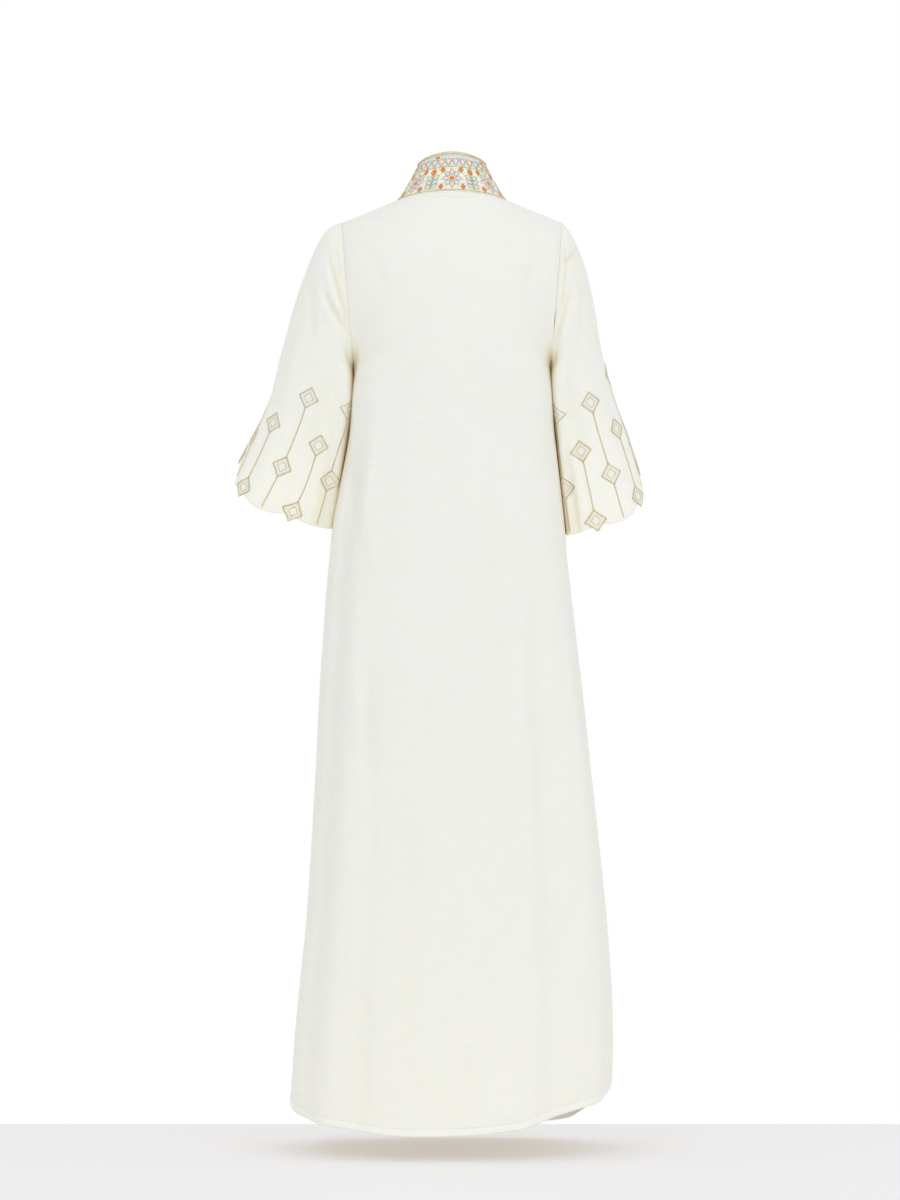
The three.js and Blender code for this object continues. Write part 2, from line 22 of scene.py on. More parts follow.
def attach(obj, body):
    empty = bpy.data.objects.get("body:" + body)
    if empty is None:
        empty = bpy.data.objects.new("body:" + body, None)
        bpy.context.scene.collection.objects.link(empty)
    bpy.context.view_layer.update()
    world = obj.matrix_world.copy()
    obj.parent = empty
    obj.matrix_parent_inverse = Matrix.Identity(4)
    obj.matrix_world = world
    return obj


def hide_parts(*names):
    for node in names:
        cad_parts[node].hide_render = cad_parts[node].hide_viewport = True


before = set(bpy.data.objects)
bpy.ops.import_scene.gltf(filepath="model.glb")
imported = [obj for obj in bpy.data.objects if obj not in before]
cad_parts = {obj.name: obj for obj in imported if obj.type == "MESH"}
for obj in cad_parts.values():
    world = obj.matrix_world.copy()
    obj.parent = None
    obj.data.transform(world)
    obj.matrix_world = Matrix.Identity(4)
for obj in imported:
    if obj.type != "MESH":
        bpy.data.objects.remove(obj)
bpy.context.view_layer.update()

log = logging.getLogger("jalabiya")

MM = 0.001
Point = tuple[float, float]
Pair = tuple[float, float]
Triple = tuple[float, float, float]
Place = Callable[[float, float, float], Vector]
Line = list[tuple[Vector, Vector]]  # points on a surface, each with its outward normal
Relief = Callable[[Vector, Vector, int, int], float]  # the lift at a vertex's place, normal, row and column
Material, Tree, Socket = bpy.types.Material, bpy.types.NodeTree, bpy.types.NodeSocket


class Facing(Enum):
    """The two panels of the gown, as the sign of the way each one faces along Y."""

    BACK = 1
    FRONT = -1


class Side(Enum):
    """The two sleeves, as the sign of the way each one lies along X."""

    LEFT = 1
    RIGHT = -1


class Thread(Enum):
    """The embroidery's colours, in the order of the satin materials on a piece."""

    ORANGE = 0
    BLUE = 1
    LILAC = 2
    MINT = 3


# ---------------- small helpers


def mix(a: float, b: float, share: float) -> float:
    """Returns the value that lies a share of the way from a to b."""
    return a + (b - a) * share


def smooth(share: float) -> float:
    """Returns a share held from 0 to 1 and eased at both ends."""
    held = min(max(share, 0.0), 1.0)
    return held * held * (3 - 2 * held)


def ramp(value: float, start: float, end: float) -> float:
    """Returns how far a value has come from its start, 0, to its end, 1, eased at both."""
    return smooth((value - start) / (end - start))


def fading(offset: float, width: float) -> float:
    """Returns 1 at no offset, fading away past one width to either side."""
    return math.exp(-((offset / width) ** 2))


def bump(offset: float, half_width: float) -> float:
    """Returns a soft bump: 1 at the middle, falling to 0 at one half-width either side."""
    share = abs(offset) / half_width
    return 0.0 if share >= 1 else (0.5 + 0.5 * math.cos(math.pi * share)) ** 1.2


def rounded(value: float, squareness: float) -> float:
    """Returns a sine or cosine as a section of that squareness has it. 2 is an ellipse, and more is boxier."""
    return math.copysign(abs(value) ** (2 / squareness), value)


def spread(start: float, end: float, count: int) -> list[float]:
    """Returns evenly spaced values from start to end, with that many steps between them."""
    return [mix(start, end, i / count) for i in range(count + 1)]


def running_lengths(points: Sequence[Vector]) -> list[float]:
    """Returns the length along a line of points from its first to each."""
    return list(accumulate(((b - a).length for a, b in zip(points, points[1:])), initial=0.0))


def stretch_at(lengths: Sequence[float], length: float) -> tuple[int, float]:
    """Returns the number of the stretch that a length falls in, and its share of the way along that stretch."""
    i = min(max(bisect_right(lengths, length) - 1, 0), len(lengths) - 2)
    return i, (length - lengths[i]) / (lengths[i + 1] - lengths[i])


class Profile:
    """Rows of sizes, each led by its key, read between rows on a smooth curve and straight on past the ends."""

    def __init__(self, *rows: Sequence[float]) -> None:
        """Keeps the rows and works out the curve's slope at each.

        Args:
            rows: Each a key followed by the sizes there, with the keys rising.
        """
        self.keys = [row[0] for row in rows]
        self.sizes = [tuple(row[1:]) for row in rows]
        steps = [
            [(b - a) / (k1 - k0) for a, b in zip(r0, r1)]
            for k0, k1, r0, r1 in zip(self.keys, self.keys[1:], self.sizes, self.sizes[1:])
        ]
        before, after = [steps[0], *steps], [*steps, steps[-1]]
        self.slopes = [[(a + b) / 2 for a, b in zip(s0, s1)] for s0, s1 in zip(before, after)]

    def at(self, key: float) -> list[float]:
        """Returns every size at a key."""
        i, t = stretch_at(self.keys, key)
        span = self.keys[i + 1] - self.keys[i]
        if t < 0 or t > 1:
            end = i if t < 0 else i + 1
            return [a + m * (key - self.keys[end]) for a, m in zip(self.sizes[end], self.slopes[end])]
        t2, t3 = t * t, t * t * t
        h0, h1, h2, h3 = 2 * t3 - 3 * t2 + 1, span * (t3 - 2 * t2 + t), 3 * t2 - 2 * t3, span * (t3 - t2)
        return [
            a * h0 + ma * h1 + b * h2 + mb * h3
            for a, ma, b, mb in zip(self.sizes[i], self.slopes[i], self.sizes[i + 1], self.slopes[i + 1])
        ]


# ---------------- the sleeves' form


@dataclass(frozen=True)
class Flute:
    """A soft lengthwise fold of a sleeve, in degrees round the arm and shares along it."""

    around: float
    half_width: float
    depth: float
    head: float
    full: float


# Round the arm, 0 is its top, 90 the back, 180 the underarm and 270 the front.
FLUTES = (
    Flute(22, 26, 3.5, 0.25, 0.8),
    Flute(350, 40, -5, 0.25, 0.8),
    Flute(62, 30, 4, 0.45, 1),
    Flute(122, 30, -5, 0.4, 0.95),
    Flute(205, 28, -4, 0.5, 1),
    Flute(250, 32, 5, 0.5, 1),
    Flute(312, 30, -4, 0.45, 1),
)

# along, then outer x and z, inner x and z, centre y, half depth, tilt, squareness
SLEEVE_SECTIONS = {
    Side.LEFT: Profile(
        (0, 174, -32, 155, -265, -6, 62, 0, 2),
        (0.06, 194, -39, 160, -271, -6, 65, 1, 2),
        (0.14, 213, -68, 160, -286, -7, 67, 2, 2.02),
        (0.26, 234, -117, 160, -306, -8, 66, 4, 2.08),
        (0.4, 252, -170, 161, -332, -11, 64, 8, 2.2),
        (0.55, 271, -235, 165, -366, -18, 62, 13, 2.4),
        (0.7, 287, -296, 172, -409, -28, 61, 19, 2.65),
        (0.85, 312, -358, 180, -463, -39, 63, 26, 2.9),
        (1, 345, -423, 188, -511, -50, 67, 33, 3.1),
    ),
    Side.RIGHT: Profile(
        (0, 174, -32, 155, -265, -6, 62, 0, 2),
        (0.06, 185, -42, 160, -271, -6, 65, 1, 2),
        (0.14, 199, -72, 160, -286, -7, 67, 2, 2.02),
        (0.26, 215, -120, 160, -306, -8, 66, 4, 2.08),
        (0.4, 227, -176, 162, -334, -11, 65, 8, 2.2),
        (0.55, 239, -238, 165, -370, -18, 64, 13, 2.35),
        (0.7, 257, -302, 169, -417, -28, 66, 20, 2.5),
        (0.85, 282, -370, 174, -468, -39, 70, 28, 2.7),
        (1, 304, -438, 180, -519, -50, 74, 37, 2.9),
    ),
}


@dataclass(frozen=True)
class SleeveForm:
    """The form of one sleeve, from the armhole (along 0) to the cuff (along 1)."""

    side: Side
    first_cusp: float  # cuff's length from the top of the arm to the first cusp
    outer_tilt: float = 0.55  # how much more of the tilt the outer side takes than the middle
    scallops: int = 6
    scallop_depth: float = 11
    scallop_fullness: float = 0.7  # under 1 is rounder than a sine
    tab: float = 12  # how far the small point at each cusp stands out
    tab_half_width: float = 15

    def point(self, around: float, along: float) -> Vector:
        """Returns a point of the sleeve.

        Args:
            around: Degrees round the arm.
            along: Share of the way from the armhole to the cuff.
        """
        outer_x, outer_z, inner_x, inner_z, centre_y, half_depth, tilt, square = SLEEVE_SECTIONS[self.side].at(along)
        angle = math.radians(around)
        to_outer, to_back = rounded(math.cos(angle), square), rounded(math.sin(angle), square)
        swell = sum(
            f.depth
            * bump((around - f.around + 180) % 360 - 180, f.half_width)
            * ramp(along, f.head, f.full)
            for f in FLUTES
        )
        half = math.hypot(outer_x - inner_x, outer_z - inner_z) / 2
        out = (half + swell) * to_outer / (2 * half)
        x = (outer_x + inner_x) / 2 + out * (outer_x - inner_x)
        z = (outer_z + inner_z) / 2 + out * (outer_z - inner_z) - tilt * to_back * (1 + self.outer_tilt * to_outer)
        return Vector((self.side.value * x, centre_y + (half_depth + swell) * to_back, z))

    @cached_property
    def cuff_lengths(self) -> list[float]:
        """The cuff's length from the top of the arm to each whole degree."""
        return running_lengths([self.point(around, 1) for around in range(361)])

    @property
    def pitch(self) -> float:
        """The cuff's length between two cusps."""
        return self.cuff_lengths[-1] / self.scallops

    @lru_cache(maxsize=4096)
    def cuff_end(self, scallop: float) -> Pair:
        """Returns where a line down the cloth meets the cuff's edge.

        Args:
            scallop: How many scallops past the first cusp the line lies.

        Returns:
            Degrees round the arm, which can be under 0 or over 360, and the place along the sleeve.
        """
        lengths = self.cuff_lengths
        length = self.first_cusp + scallop * self.pitch
        turned = length % lengths[-1]
        around = sum(stretch_at(lengths, turned))
        offset = abs((scallop + 0.5) % 1 - 0.5)
        arc = self.scallop_depth * math.sin(math.pi * offset) ** self.scallop_fullness
        tab = self.tab * (1 - offset * self.pitch / self.tab_half_width)
        step = 0.05  # of the sleeve, over which its slope at the cuff is taken
        run = (self.point(around, 1) - self.point(around, 1 - step)).length / step
        return around + 360 * math.floor(length / lengths[-1]), 1 + (max(arc, tab) - self.scallop_depth) / run

    def down_cloth(self, scallop: float, share: float, lean: float = 0.0) -> Pair:
        """Returns degrees round the arm and the place along it of a point on a line down the cloth.

        Args:
            scallop: How many scallops past the first cusp the line ends.
            share: Share of the way from the armhole to the cuff's edge.
            lean: Degrees that the line's upper end is turned towards the back.
        """
        around, along = self.cuff_end(round(scallop, 6))
        # The first cusp's line starts half a scallop past the top of the arm.
        start = (scallop + 0.5) * 360 / self.scallops + lean
        return mix(start, around, share), along * share


SLEEVES = {
    Side.LEFT: SleeveForm(Side.LEFT, first_cusp=65),
    Side.RIGHT: SleeveForm(Side.RIGHT, first_cusp=66),
}

# ---------------- the gown's form


@dataclass(frozen=True)
class Fold:
    """A soft lengthwise fold of a panel, in shares across it. It drifts to across_hem, from head to full depth."""

    across: float
    across_hem: float
    half_width: float
    depth: float
    head: float
    full: float


# down, then the left, right, back and front reaches from the centre line, and squareness
BODY_SECTIONS = Profile(
    (265, 149, 151, 122, 130, 2.25),
    (375, 161, 161, 118, 132, 2.3),
    (533, 189, 178, 123, 138, 2.35),
    (707, 204, 198, 133, 146, 2.45),
    (944, 217, 224, 146, 157, 2.5),
    (1134, 229, 243, 157, 167, 2.5),
    (1323, 247, 253, 169, 179, 2.45),
    (1475, 257, 244, 178, 188, 2.4),
)

# across, then down to the hem
HEMS = {
    Facing.BACK: Profile(
        (-1, 1382), (-0.8, 1402), (-0.5, 1423), (-0.2, 1449), (0.12, 1458), (0.45, 1446), (0.75, 1434), (1, 1415)
    ),
    Facing.FRONT: Profile((-1, 1382), (-0.76, 1420), (-0.45, 1463), (0, 1461), (0.5, 1450), (0.8, 1435), (1, 1415)),
}

FOLDS = {
    Facing.BACK: (
        Fold(-0.3, -0.24, 0.13, 4, 520, 820),
        Fold(-0.44, -0.4, 0.15, -10, 480, 860),
        Fold(-0.7, -0.66, 0.16, 6, 560, 960),
        Fold(0.45, 0.5, 0.14, 5, 300, 470),
        Fold(0.66, 0.7, 0.13, -6, 300, 500),
        Fold(0.34, 0.33, 0.08, -2.5, 620, 760),
    ),
    Facing.FRONT: (
        Fold(-0.52, -0.46, 0.16, 7, 420, 900),
        Fold(-0.26, -0.22, 0.15, -8, 460, 940),
        Fold(0.2, 0.24, 0.14, -7, 380, 860),
        Fold(0.44, 0.47, 0.15, 8, 400, 920),
        Fold(0.74, 0.72, 0.12, -5, 520, 980),
    ),
}


@dataclass(frozen=True)
class Neckline:
    """The neck opening, whose points are where the shoulder seams reach it."""

    half_width: float = 88
    back_depth: float = 60
    front_depth: float = 78
    nape_rise: float = 11
    front_drop: float = 72

    def point(self, facing: Facing, hand: float, turn: float) -> Vector:
        """Returns a point of the neckline.

        Args:
            facing: Which panel's neckline.
            hand: 1 on the wearer's left, -1 on the right.
            turn: 0 at the neck point and 1 at the centre.
        """
        angle = turn * math.pi / 2
        sine = math.sin(angle)
        x = hand * self.half_width * math.cos(angle)
        if facing is Facing.BACK:
            return Vector((x, self.back_depth * sine, self.nape_rise * sine**2))
        return Vector((x, -self.front_depth * sine, -self.front_drop * sine**1.5))


NECKLINE = Neckline()


@dataclass(frozen=True)
class PanelForm:
    """The form of one panel. down is 0 at its top edge, 1 level with the underarm and 2 at the hem."""

    facing: Facing
    neck_share: float = 6 / 11  # how far across from the centre the neck point is
    underarm: float = 265  # its level below the neck
    underarm_out: float = 155  # and its distance from the centre line
    underarm_turn: float = 14  # the height over which the side turns out to it
    hem_level: float = 1460
    seam_dip: float = 3  # how far the shoulder seam sags
    shoulder_roundness: float = 0.9  # powers and shares of how the cloth settles over the shoulders
    settle: float = 6
    centre_ridge: float = 1.12
    arm_ridge: float = 1.75
    armhole_reach: float = 2
    underarm_reach: float = 6
    slit_half_gap: float = 7
    slit_foot: float = 0.75  # how far down the slit runs
    slit_reach: float = 0.16  # how far across the cloth beside it is drawn open

    @lru_cache(maxsize=4096)
    def top(self, across: float) -> Vector:
        """Returns a point of the top edge: the neckline, then the shoulder seam out to the sleeve."""
        hand = -1 if across < 0 else 1
        reach = abs(across)
        if reach <= self.neck_share:
            return NECKLINE.point(self.facing, hand, 1 - reach / self.neck_share)
        tip = SLEEVES[Side(hand)].point(0, 0)
        share = (reach - self.neck_share) / (1 - self.neck_share)
        point = NECKLINE.point(self.facing, hand, 0).lerp(tip, share)
        point.z -= self.seam_dip * math.sin(math.pi * share)
        return point

    def skirt(self, across: float, level: float) -> Vector:
        """Returns a point at or below the underarm, with its folds.

        Args:
            across: 1 at the left side seam, 0 at the centre, -1 at the right.
            level: How far down the point is, in millimetres.
        """
        left, right, back, front, square = BODY_SECTIONS.at(level)
        angle = across * math.pi / 2
        swell = 0.0
        for f in FOLDS[self.facing]:
            middle = mix(f.across, f.across_hem, ramp(level, f.head, self.hem_level))
            swell += f.depth * bump(across - middle, f.half_width) * ramp(level, f.head, f.full)
        width = left if across > 0 else right
        depth = back if self.facing is Facing.BACK else front
        turn = min(max(1 - (level - self.underarm) / self.underarm_turn, 0.0), 1.0) ** 2
        flare = (self.underarm_out - width) * abs(across) ** 10 * turn
        sine, cosine = math.sin(abs(angle)), max(math.cos(angle), 0.0)
        x = math.copysign(width * sine ** (2 / square) + flare + swell * sine, across)
        y = self.facing.value * (depth * cosine ** (2 / square) + swell * cosine)
        return Vector((x, y, -level))

    @lru_cache(maxsize=4096)
    def _drape_ends(self, across: float) -> tuple[Vector, Vector, Vector]:
        """Returns the settled shoulder line, the chest and the top edge at a place across."""
        tip, centre = self.top(-1.0 if across < 0 else 1.0), self.top(0.0)
        angle = abs(across) * math.pi / 2
        near = math.cos(angle)
        line = Vector(
            (tip.x * math.sin(angle) ** self.shoulder_roundness, mix(tip.y, centre.y, near), mix(tip.z, centre.z, near))
        )
        return line, self.skirt(across, self.underarm), self.top(across)

    def _drape(self, across: float, down: float) -> Vector:
        """Returns a point of the cloth between its top edge and the chest, before the armhole draws it out."""
        line, chest, top = self._drape_ends(across)
        ridge = mix(self.centre_ridge, self.arm_ridge, abs(across) ** 1.5)
        settled = Vector(
            (
                mix(line.x, chest.x, down),
                mix(line.y, chest.y, 1 - (1 - down) ** 2),
                mix(line.z, chest.z, down**ridge),
            )
        )
        return settled + (top - line) * (1 - down) ** self.settle

    @lru_cache(maxsize=4096)
    def _armhole_pull(self, hand: int, down: float) -> Vector:
        """Returns what carries the drape's edge out to the armhole."""
        around = 180 * down if self.facing is Facing.BACK else 360 - 180 * down
        return SLEEVES[Side(hand)].point(around, 0) - self._drape(float(hand), down)

    def point(self, across: float, down: float) -> Vector:
        """Returns a point of the panel."""
        if down > 1:
            hem = HEMS[self.facing].at(across)[0]
            point = self.skirt(across, mix(self.underarm, hem, down - 1))
        else:
            reach = mix(self.armhole_reach, self.underarm_reach, down**3)
            pull = self._armhole_pull(-1 if across < 0 else 1, down)
            point = self._drape(across, down) + pull * abs(across) ** reach
        if self.facing is Facing.FRONT and down < self.slit_foot:
            gap = self.slit_half_gap * (1 - smooth(down / self.slit_foot))
            near = max(1 - abs(across) / self.slit_reach, 0.0)
            point.x += math.copysign(gap * near**2, across)
        return point


@dataclass(frozen=True)
class CollarForm:
    """The standing collar. turn runs from -2 at the right front by the nape, 0, to 2 at the left front."""

    back_height: float = 62
    front_height: float = 58
    narrow: float = 51 / 88
    back_shallow: float = 46 / 60
    front_shallow: float = 64 / 78
    hollow: float = 0.8
    front_end: float = 1.949  # short of 2, so that the front stays open
    turning: float = 25  # how far either side of the neck points the height changes

    def point(self, turn: float, rise: float) -> Vector:
        """Returns a point of the collar. rise is 0 at the neck seam and 1 at the top edge."""
        hand = -1 if turn < 0 else 1
        reach = abs(turn)
        facing = Facing.BACK if reach <= 1 else Facing.FRONT
        base = NECKLINE.point(facing, hand, 1 - reach if reach <= 1 else reach - 1)
        shallow = self.back_shallow if reach <= 1 else self.front_shallow
        inwards = max(rise, 0.0) ** self.hollow
        height = mix(self.front_height, self.back_height, ramp(base.y, -self.turning, self.turning))
        return Vector(
            (base.x * mix(1, self.narrow, inwards), base.y * mix(1, shallow, inwards), base.z + height * rise)
        )

    def frame(self, turn: float, rise: float) -> tuple[Vector, Vector, Vector, float]:
        """Returns a point, its outward normal, its direction round the neck and its length per unit of turn."""
        step = 0.004
        low, high = max(rise - step, 0.002), max(rise + step, 0.01)
        here = self.point(turn, rise)
        round_neck = (self.point(turn + step, rise) - self.point(turn - step, rise)) / (2 * step)
        up = self.point(turn, high) - self.point(turn, low)
        return here, up.cross(round_neck).normalized(), round_neck.normalized(), round_neck.length

    def placed(self, turn: float, level: float) -> Place:
        """Returns what sets a motif's own millimetres on the collar: x across, y up from the seam and z outwards.

        Args:
            turn: Where the motif's upright line stands.
            level: Height of the motif's middle above the seam.
        """

        def place(x: float, y: float, z: float) -> Vector:
            """Returns the place on the collar of one point of the motif."""
            rise = (level + y) / self.back_height
            speed = self.frame(turn, rise)[3]
            here, normal, _, _ = self.frame(turn + x / speed, rise)
            return here + normal * z

        return place

    def spaced(self, level: float, spacing: float, margin: float = 0.0) -> list[float]:
        """Returns the turns of evenly spaced places round the collar, centred on the nape.

        Args:
            level: Height above the seam.
            spacing: Distance from each place to the next, nearly.
            margin: How far the first and last stay from the front edges.
        """
        turns = spread(-self.front_end, self.front_end, 720)
        lengths = running_lengths([self.point(turn, level / self.back_height) for turn in turns])
        room = lengths[-1] - 2 * margin
        found = []
        for length in spread(margin, margin + room, 2 * round(room / spacing / 2)):
            i, share = stretch_at(lengths, length)
            found.append(mix(turns[i], turns[i + 1], share))
        return found


COLLAR = CollarForm()
PANELS = {facing: PanelForm(facing) for facing in Facing}

# ---------------- finishes


def linear(colour: str) -> tuple[float, float, float, float]:
    """Returns an sRGB hex colour as linear red, green, blue and alpha."""
    parts = [int(colour[i : i + 2], 16) / 255 for i in (1, 3, 5)]
    red, green, blue = (c / 12.92 if c <= 0.04045 else ((c + 0.055) / 1.055) ** 2.4 for c in parts)
    return red, green, blue, 1.0


def add_node(
    tree: Tree, kind: str, inputs: dict[str | int, object] | None = None, **settings: object
) -> bpy.types.Node:
    """Adds a node.

    Args:
        tree: The tree it goes in.
        kind: The node's type.
        inputs: By name or number, each input's value or the output that is linked to it.
        settings: The node's own settings.

    Returns:
        The new node.
    """
    node = tree.nodes.new(kind)
    for name, value in settings.items():
        setattr(node, name, value)
    for name, value in (inputs or {}).items():
        if isinstance(value, Socket):
            tree.links.new(value, node.inputs[name])
        else:
            node.inputs[name].default_value = value
    return node


def bands_scale(spacing: float) -> float:
    """Returns the wave texture's scale that draws a band at every spacing, in millimetres."""
    return 2 * math.pi / (20 * spacing * MM)


class Finish:
    """What something is made of, and how its surface was made."""

    name: str

    def surface(self, tree: Tree) -> dict[str | int, object]:
        """Adds the finish's own nodes, and returns its shader's inputs."""
        raise NotImplementedError

    def material(self) -> Material:
        """Returns the finish as a material."""
        material = bpy.data.materials.new(self.name)
        material.use_nodes = True
        tree = material.node_tree
        tree.nodes.clear()
        shader = add_node(tree, "ShaderNodeBsdfPrincipled", self.surface(tree))
        add_node(tree, "ShaderNodeOutputMaterial", {"Surface": shader.outputs[0]})
        return material


def patches(tree: Tree, size: float, detail: float, deep: str, pale: str) -> tuple[Socket, Socket]:
    """Adds soft patches of two colours, which go by place on the piece.

    Args:
        tree: The finish's tree.
        size: Distance from one patch to the next, in millimetres.
        detail: How broken the patches are.
        deep: The deeper colour.
        pale: The paler one.

    Returns:
        How pale each place is, and its colour.
    """
    place = add_node(tree, "ShaderNodeTexCoord").outputs["Object"]
    blots = {"Vector": place, "Scale": 1000 / size, "Detail": detail}
    share = add_node(tree, "ShaderNodeTexNoise", blots).outputs["Fac"]
    # A colour mix's sockets go by number, because their names repeat for each kind of data.
    colour = add_node(tree, "ShaderNodeMix", {0: share, 6: linear(deep), 7: linear(pale)}, data_type="RGBA")
    return share, colour.outputs[2]


@dataclass(frozen=True)
class Linen(Finish):
    """Plain-woven linen, dyed ivory and pressed. Its uneven yarns show as faint streaks both ways."""

    name: str = "Slubbed ivory linen"
    thin_yarn: str = "#F1F0E5"
    thick_yarn: str = "#F6F5EB"
    painted_warm_shade: str = "#E8D5AD"  # painted warm shade where cloth faces cloth, and painted light through the single cloth at an edge
    doubled: str = "#FCFBF3"  # where it is turned double
    roughness: float = 0.9
    slub_length: float = 34.0
    slub_width: float = 2.3
    warp_share: float = 0.45  # the upright yarns are more even than the level ones
    drift: float = 1000 / 9  # size of the patches of thicker or thinner yarn
    drift_share: float = 0.5
    yarn_range: Pair = (0.6, 1.35)  # of slubs and drift together
    thread_spacing: float = 2.6  # the real threads are 0.5 apart, too fine to show
    thread_share: float = 0.35  # of the threads in the relief, beside the slubs
    thread_height: float = 0.4
    relief: float = 0.35

    def surface(self, tree: Tree) -> dict[str | int, object]:
        """Adds the yarns' nodes, which follow the piece's own flat cloth, and returns the shader's inputs."""
        flat = add_node(tree, "ShaderNodeUVMap", uv_map="Cloth").outputs["UV"]
        slubs = []
        for long_way, short_way in ((0, 1), (1, 0)):
            scale = [1.0, 1.0, 1.0]
            scale[long_way], scale[short_way] = 1000 / self.slub_length, 1000 / self.slub_width
            stretched = add_node(tree, "ShaderNodeMapping", {"Vector": flat, "Scale": scale}).outputs[0]
            slub = {"Vector": stretched, "Scale": 1.0, "Detail": 2.0, "Roughness": 0.6}
            slubs.append(add_node(tree, "ShaderNodeTexNoise", slub).outputs["Fac"])
        both = {0: slubs[1], 1: self.warp_share, 2: slubs[0]}
        streaks = add_node(tree, "ShaderNodeMath", both, operation="MULTIPLY_ADD").outputs[0]
        drift = {"Vector": flat, "Scale": 1000 / self.drift, "Detail": 3.0, "Roughness": 0.55}
        drift = add_node(tree, "ShaderNodeTexNoise", drift).outputs["Fac"]
        both = {0: drift, 1: self.drift_share, 2: streaks}
        both = add_node(tree, "ShaderNodeMath", both, operation="MULTIPLY_ADD").outputs[0]
        thin, thick = self.yarn_range
        share = add_node(tree, "ShaderNodeMapRange", {"Value": both, "From Min": thin, "From Max": thick}).outputs[0]
        colour = {0: share, 6: linear(self.thin_yarn), 7: linear(self.thick_yarn)}
        colour = add_node(tree, "ShaderNodeMix", colour, data_type="RGBA").outputs[2]
        # The "edge" attribute blends in the painted warm shade and light; "doubled" blends in the hem's own paler
        # colour.
        for attribute, tint in (("edge", self.painted_warm_shade), ("doubled", self.doubled)):
            share = add_node(tree, "ShaderNodeAttribute", attribute_name=attribute).outputs["Fac"]
            tinted = {0: share, 6: colour, 7: linear(tint)}
            colour = add_node(tree, "ShaderNodeMix", tinted, data_type="RGBA").outputs[2]
        band = {"Vector": flat, "Scale": bands_scale(self.thread_spacing), "Distortion": 0.6}
        weft, warp = (
            add_node(tree, "ShaderNodeTexWave", band, wave_type="BANDS", bands_direction=axis).outputs["Fac"]
            for axis in ("X", "Y")
        )
        weave = add_node(tree, "ShaderNodeMath", {0: weft, 1: warp}, operation="MULTIPLY").outputs[0]
        height = {0: weave, 1: self.thread_share, 2: streaks}
        height = add_node(tree, "ShaderNodeMath", height, operation="MULTIPLY_ADD").outputs[0]
        relief = {"Height": height, "Strength": self.relief, "Distance": self.thread_height * MM}
        return {
            "Base Color": colour, "Roughness": self.roughness,
            "Normal": add_node(tree, "ShaderNodeBump", relief).outputs["Normal"], "Sheen Weight": 0.12,
            "Sheen Roughness": 0.5, "Specular IOR Level": 0.3, "Subsurface Weight": 0.5,
            "Subsurface Radius": (1.0, 0.85, 0.6), "Subsurface Scale": 0.003,
        }


@dataclass(frozen=True)
class SatinThread(Finish):
    """Stranded silk worked in close satin stitch. The strands lie side by side and shine along their length."""

    name: str
    colour: str
    deep: str
    strand: float = 1.8  # the real strands are 0.45 wide, too fine to show
    strand_height: float = 0.3
    roughness: float = 0.42

    def surface(self, tree: Tree) -> dict[str | int, object]:
        """Adds the strands' nodes, which follow each shape's own stitches, and returns the shader's inputs."""
        flat = add_node(tree, "ShaderNodeUVMap", uv_map="Stitches").outputs["UV"]
        band = {"Vector": flat, "Scale": bands_scale(self.strand), "Distortion": 1.2, "Detail": 1.0}
        strands = add_node(tree, "ShaderNodeTexWave", band, wave_type="BANDS", bands_direction="X").outputs["Fac"]
        # The deeper colour lies in the low bands of the relief: painted shade between the strands.
        colour = {0: strands, 6: linear(self.deep), 7: linear(self.colour)}
        relief = {"Height": strands, "Strength": 0.6, "Distance": self.strand_height * MM}
        return {
            "Base Color": add_node(tree, "ShaderNodeMix", colour, data_type="RGBA").outputs[2],
            "Roughness": self.roughness,
            "Normal": add_node(tree, "ShaderNodeBump", relief).outputs["Normal"],
            "Sheen Weight": 0.25,
            "Sheen Roughness": 0.35,
        }


@dataclass(frozen=True)
class GiltMetal(Finish):
    """Gilt brass, tumbled soft and a little tarnished. It gives small warm glints and darker hollows."""

    name: str = "Gilt brass beads"
    bright: str = "#F1E3B0"
    tarnished: str = "#C0AC6C"
    metallic: float = 0.75
    roughness: Pair = (0.48, 0.28)  # where it is tarnished, and where it is bright
    patch: float = 7.0

    def surface(self, tree: Tree) -> dict[str | int, object]:
        """Adds the tarnish's nodes, and returns the shader's inputs, which vary from bead to bead."""
        share, colour = patches(tree, self.patch, 2.0, self.tarnished, self.bright)
        dull, polished = self.roughness
        dullness = add_node(
            tree, "ShaderNodeMapRange", {"Value": share, "To Min": dull, "To Max": polished}
        ).outputs["Result"]
        return {"Base Color": colour, "Metallic": self.metallic, "Roughness": dullness}


@dataclass(frozen=True)
class PearlGlass(Finish):
    """Glass seed beads with a pearl lining. They are milky, with a soft clear gloss."""

    name: str = "Pearl glass beads"
    pale: str = "#FFFFFC"
    deep: str = "#FCF8EE"
    roughness: float = 0.3
    patch: float = 9.0

    def surface(self, tree: Tree) -> dict[str | int, object]:
        """Adds the glass's nodes, and returns the shader's inputs, which vary from bead to bead."""
        return {
            "Base Color": patches(tree, self.patch, 1.0, self.deep, self.pale)[1], "Roughness": self.roughness,
            "IOR": 1.52, "Coat Weight": 0.3, "Coat Roughness": 0.1, "Subsurface Weight": 0.7,
            "Subsurface Radius": (1.0, 0.95, 0.85), "Subsurface Scale": 0.0015,
        }


@dataclass(frozen=True)
class PaintedFloor(Finish):
    """A floor of matt pale paint, lit from beneath as a sweep is. It gives a plain ground and light warm shadows."""

    name: str = "Matt pale floor paint"
    pale: str = "#AEB9C5"
    deep: str = "#AAB5C1"
    glow: str = "#B4A99D"
    roughness: float = 0.8
    rolled: float = 500.0

    def surface(self, tree: Tree) -> dict[str | int, object]:
        """Adds the rolled paint's nodes, and returns the shader's inputs."""
        return {
            "Base Color": patches(tree, self.rolled, 3.0, self.deep, self.pale)[1],
            "Roughness": self.roughness,
            "Specular IOR Level": 0.2,
            "Emission Color": linear(self.glow),
            "Emission Strength": 1.0,
        }


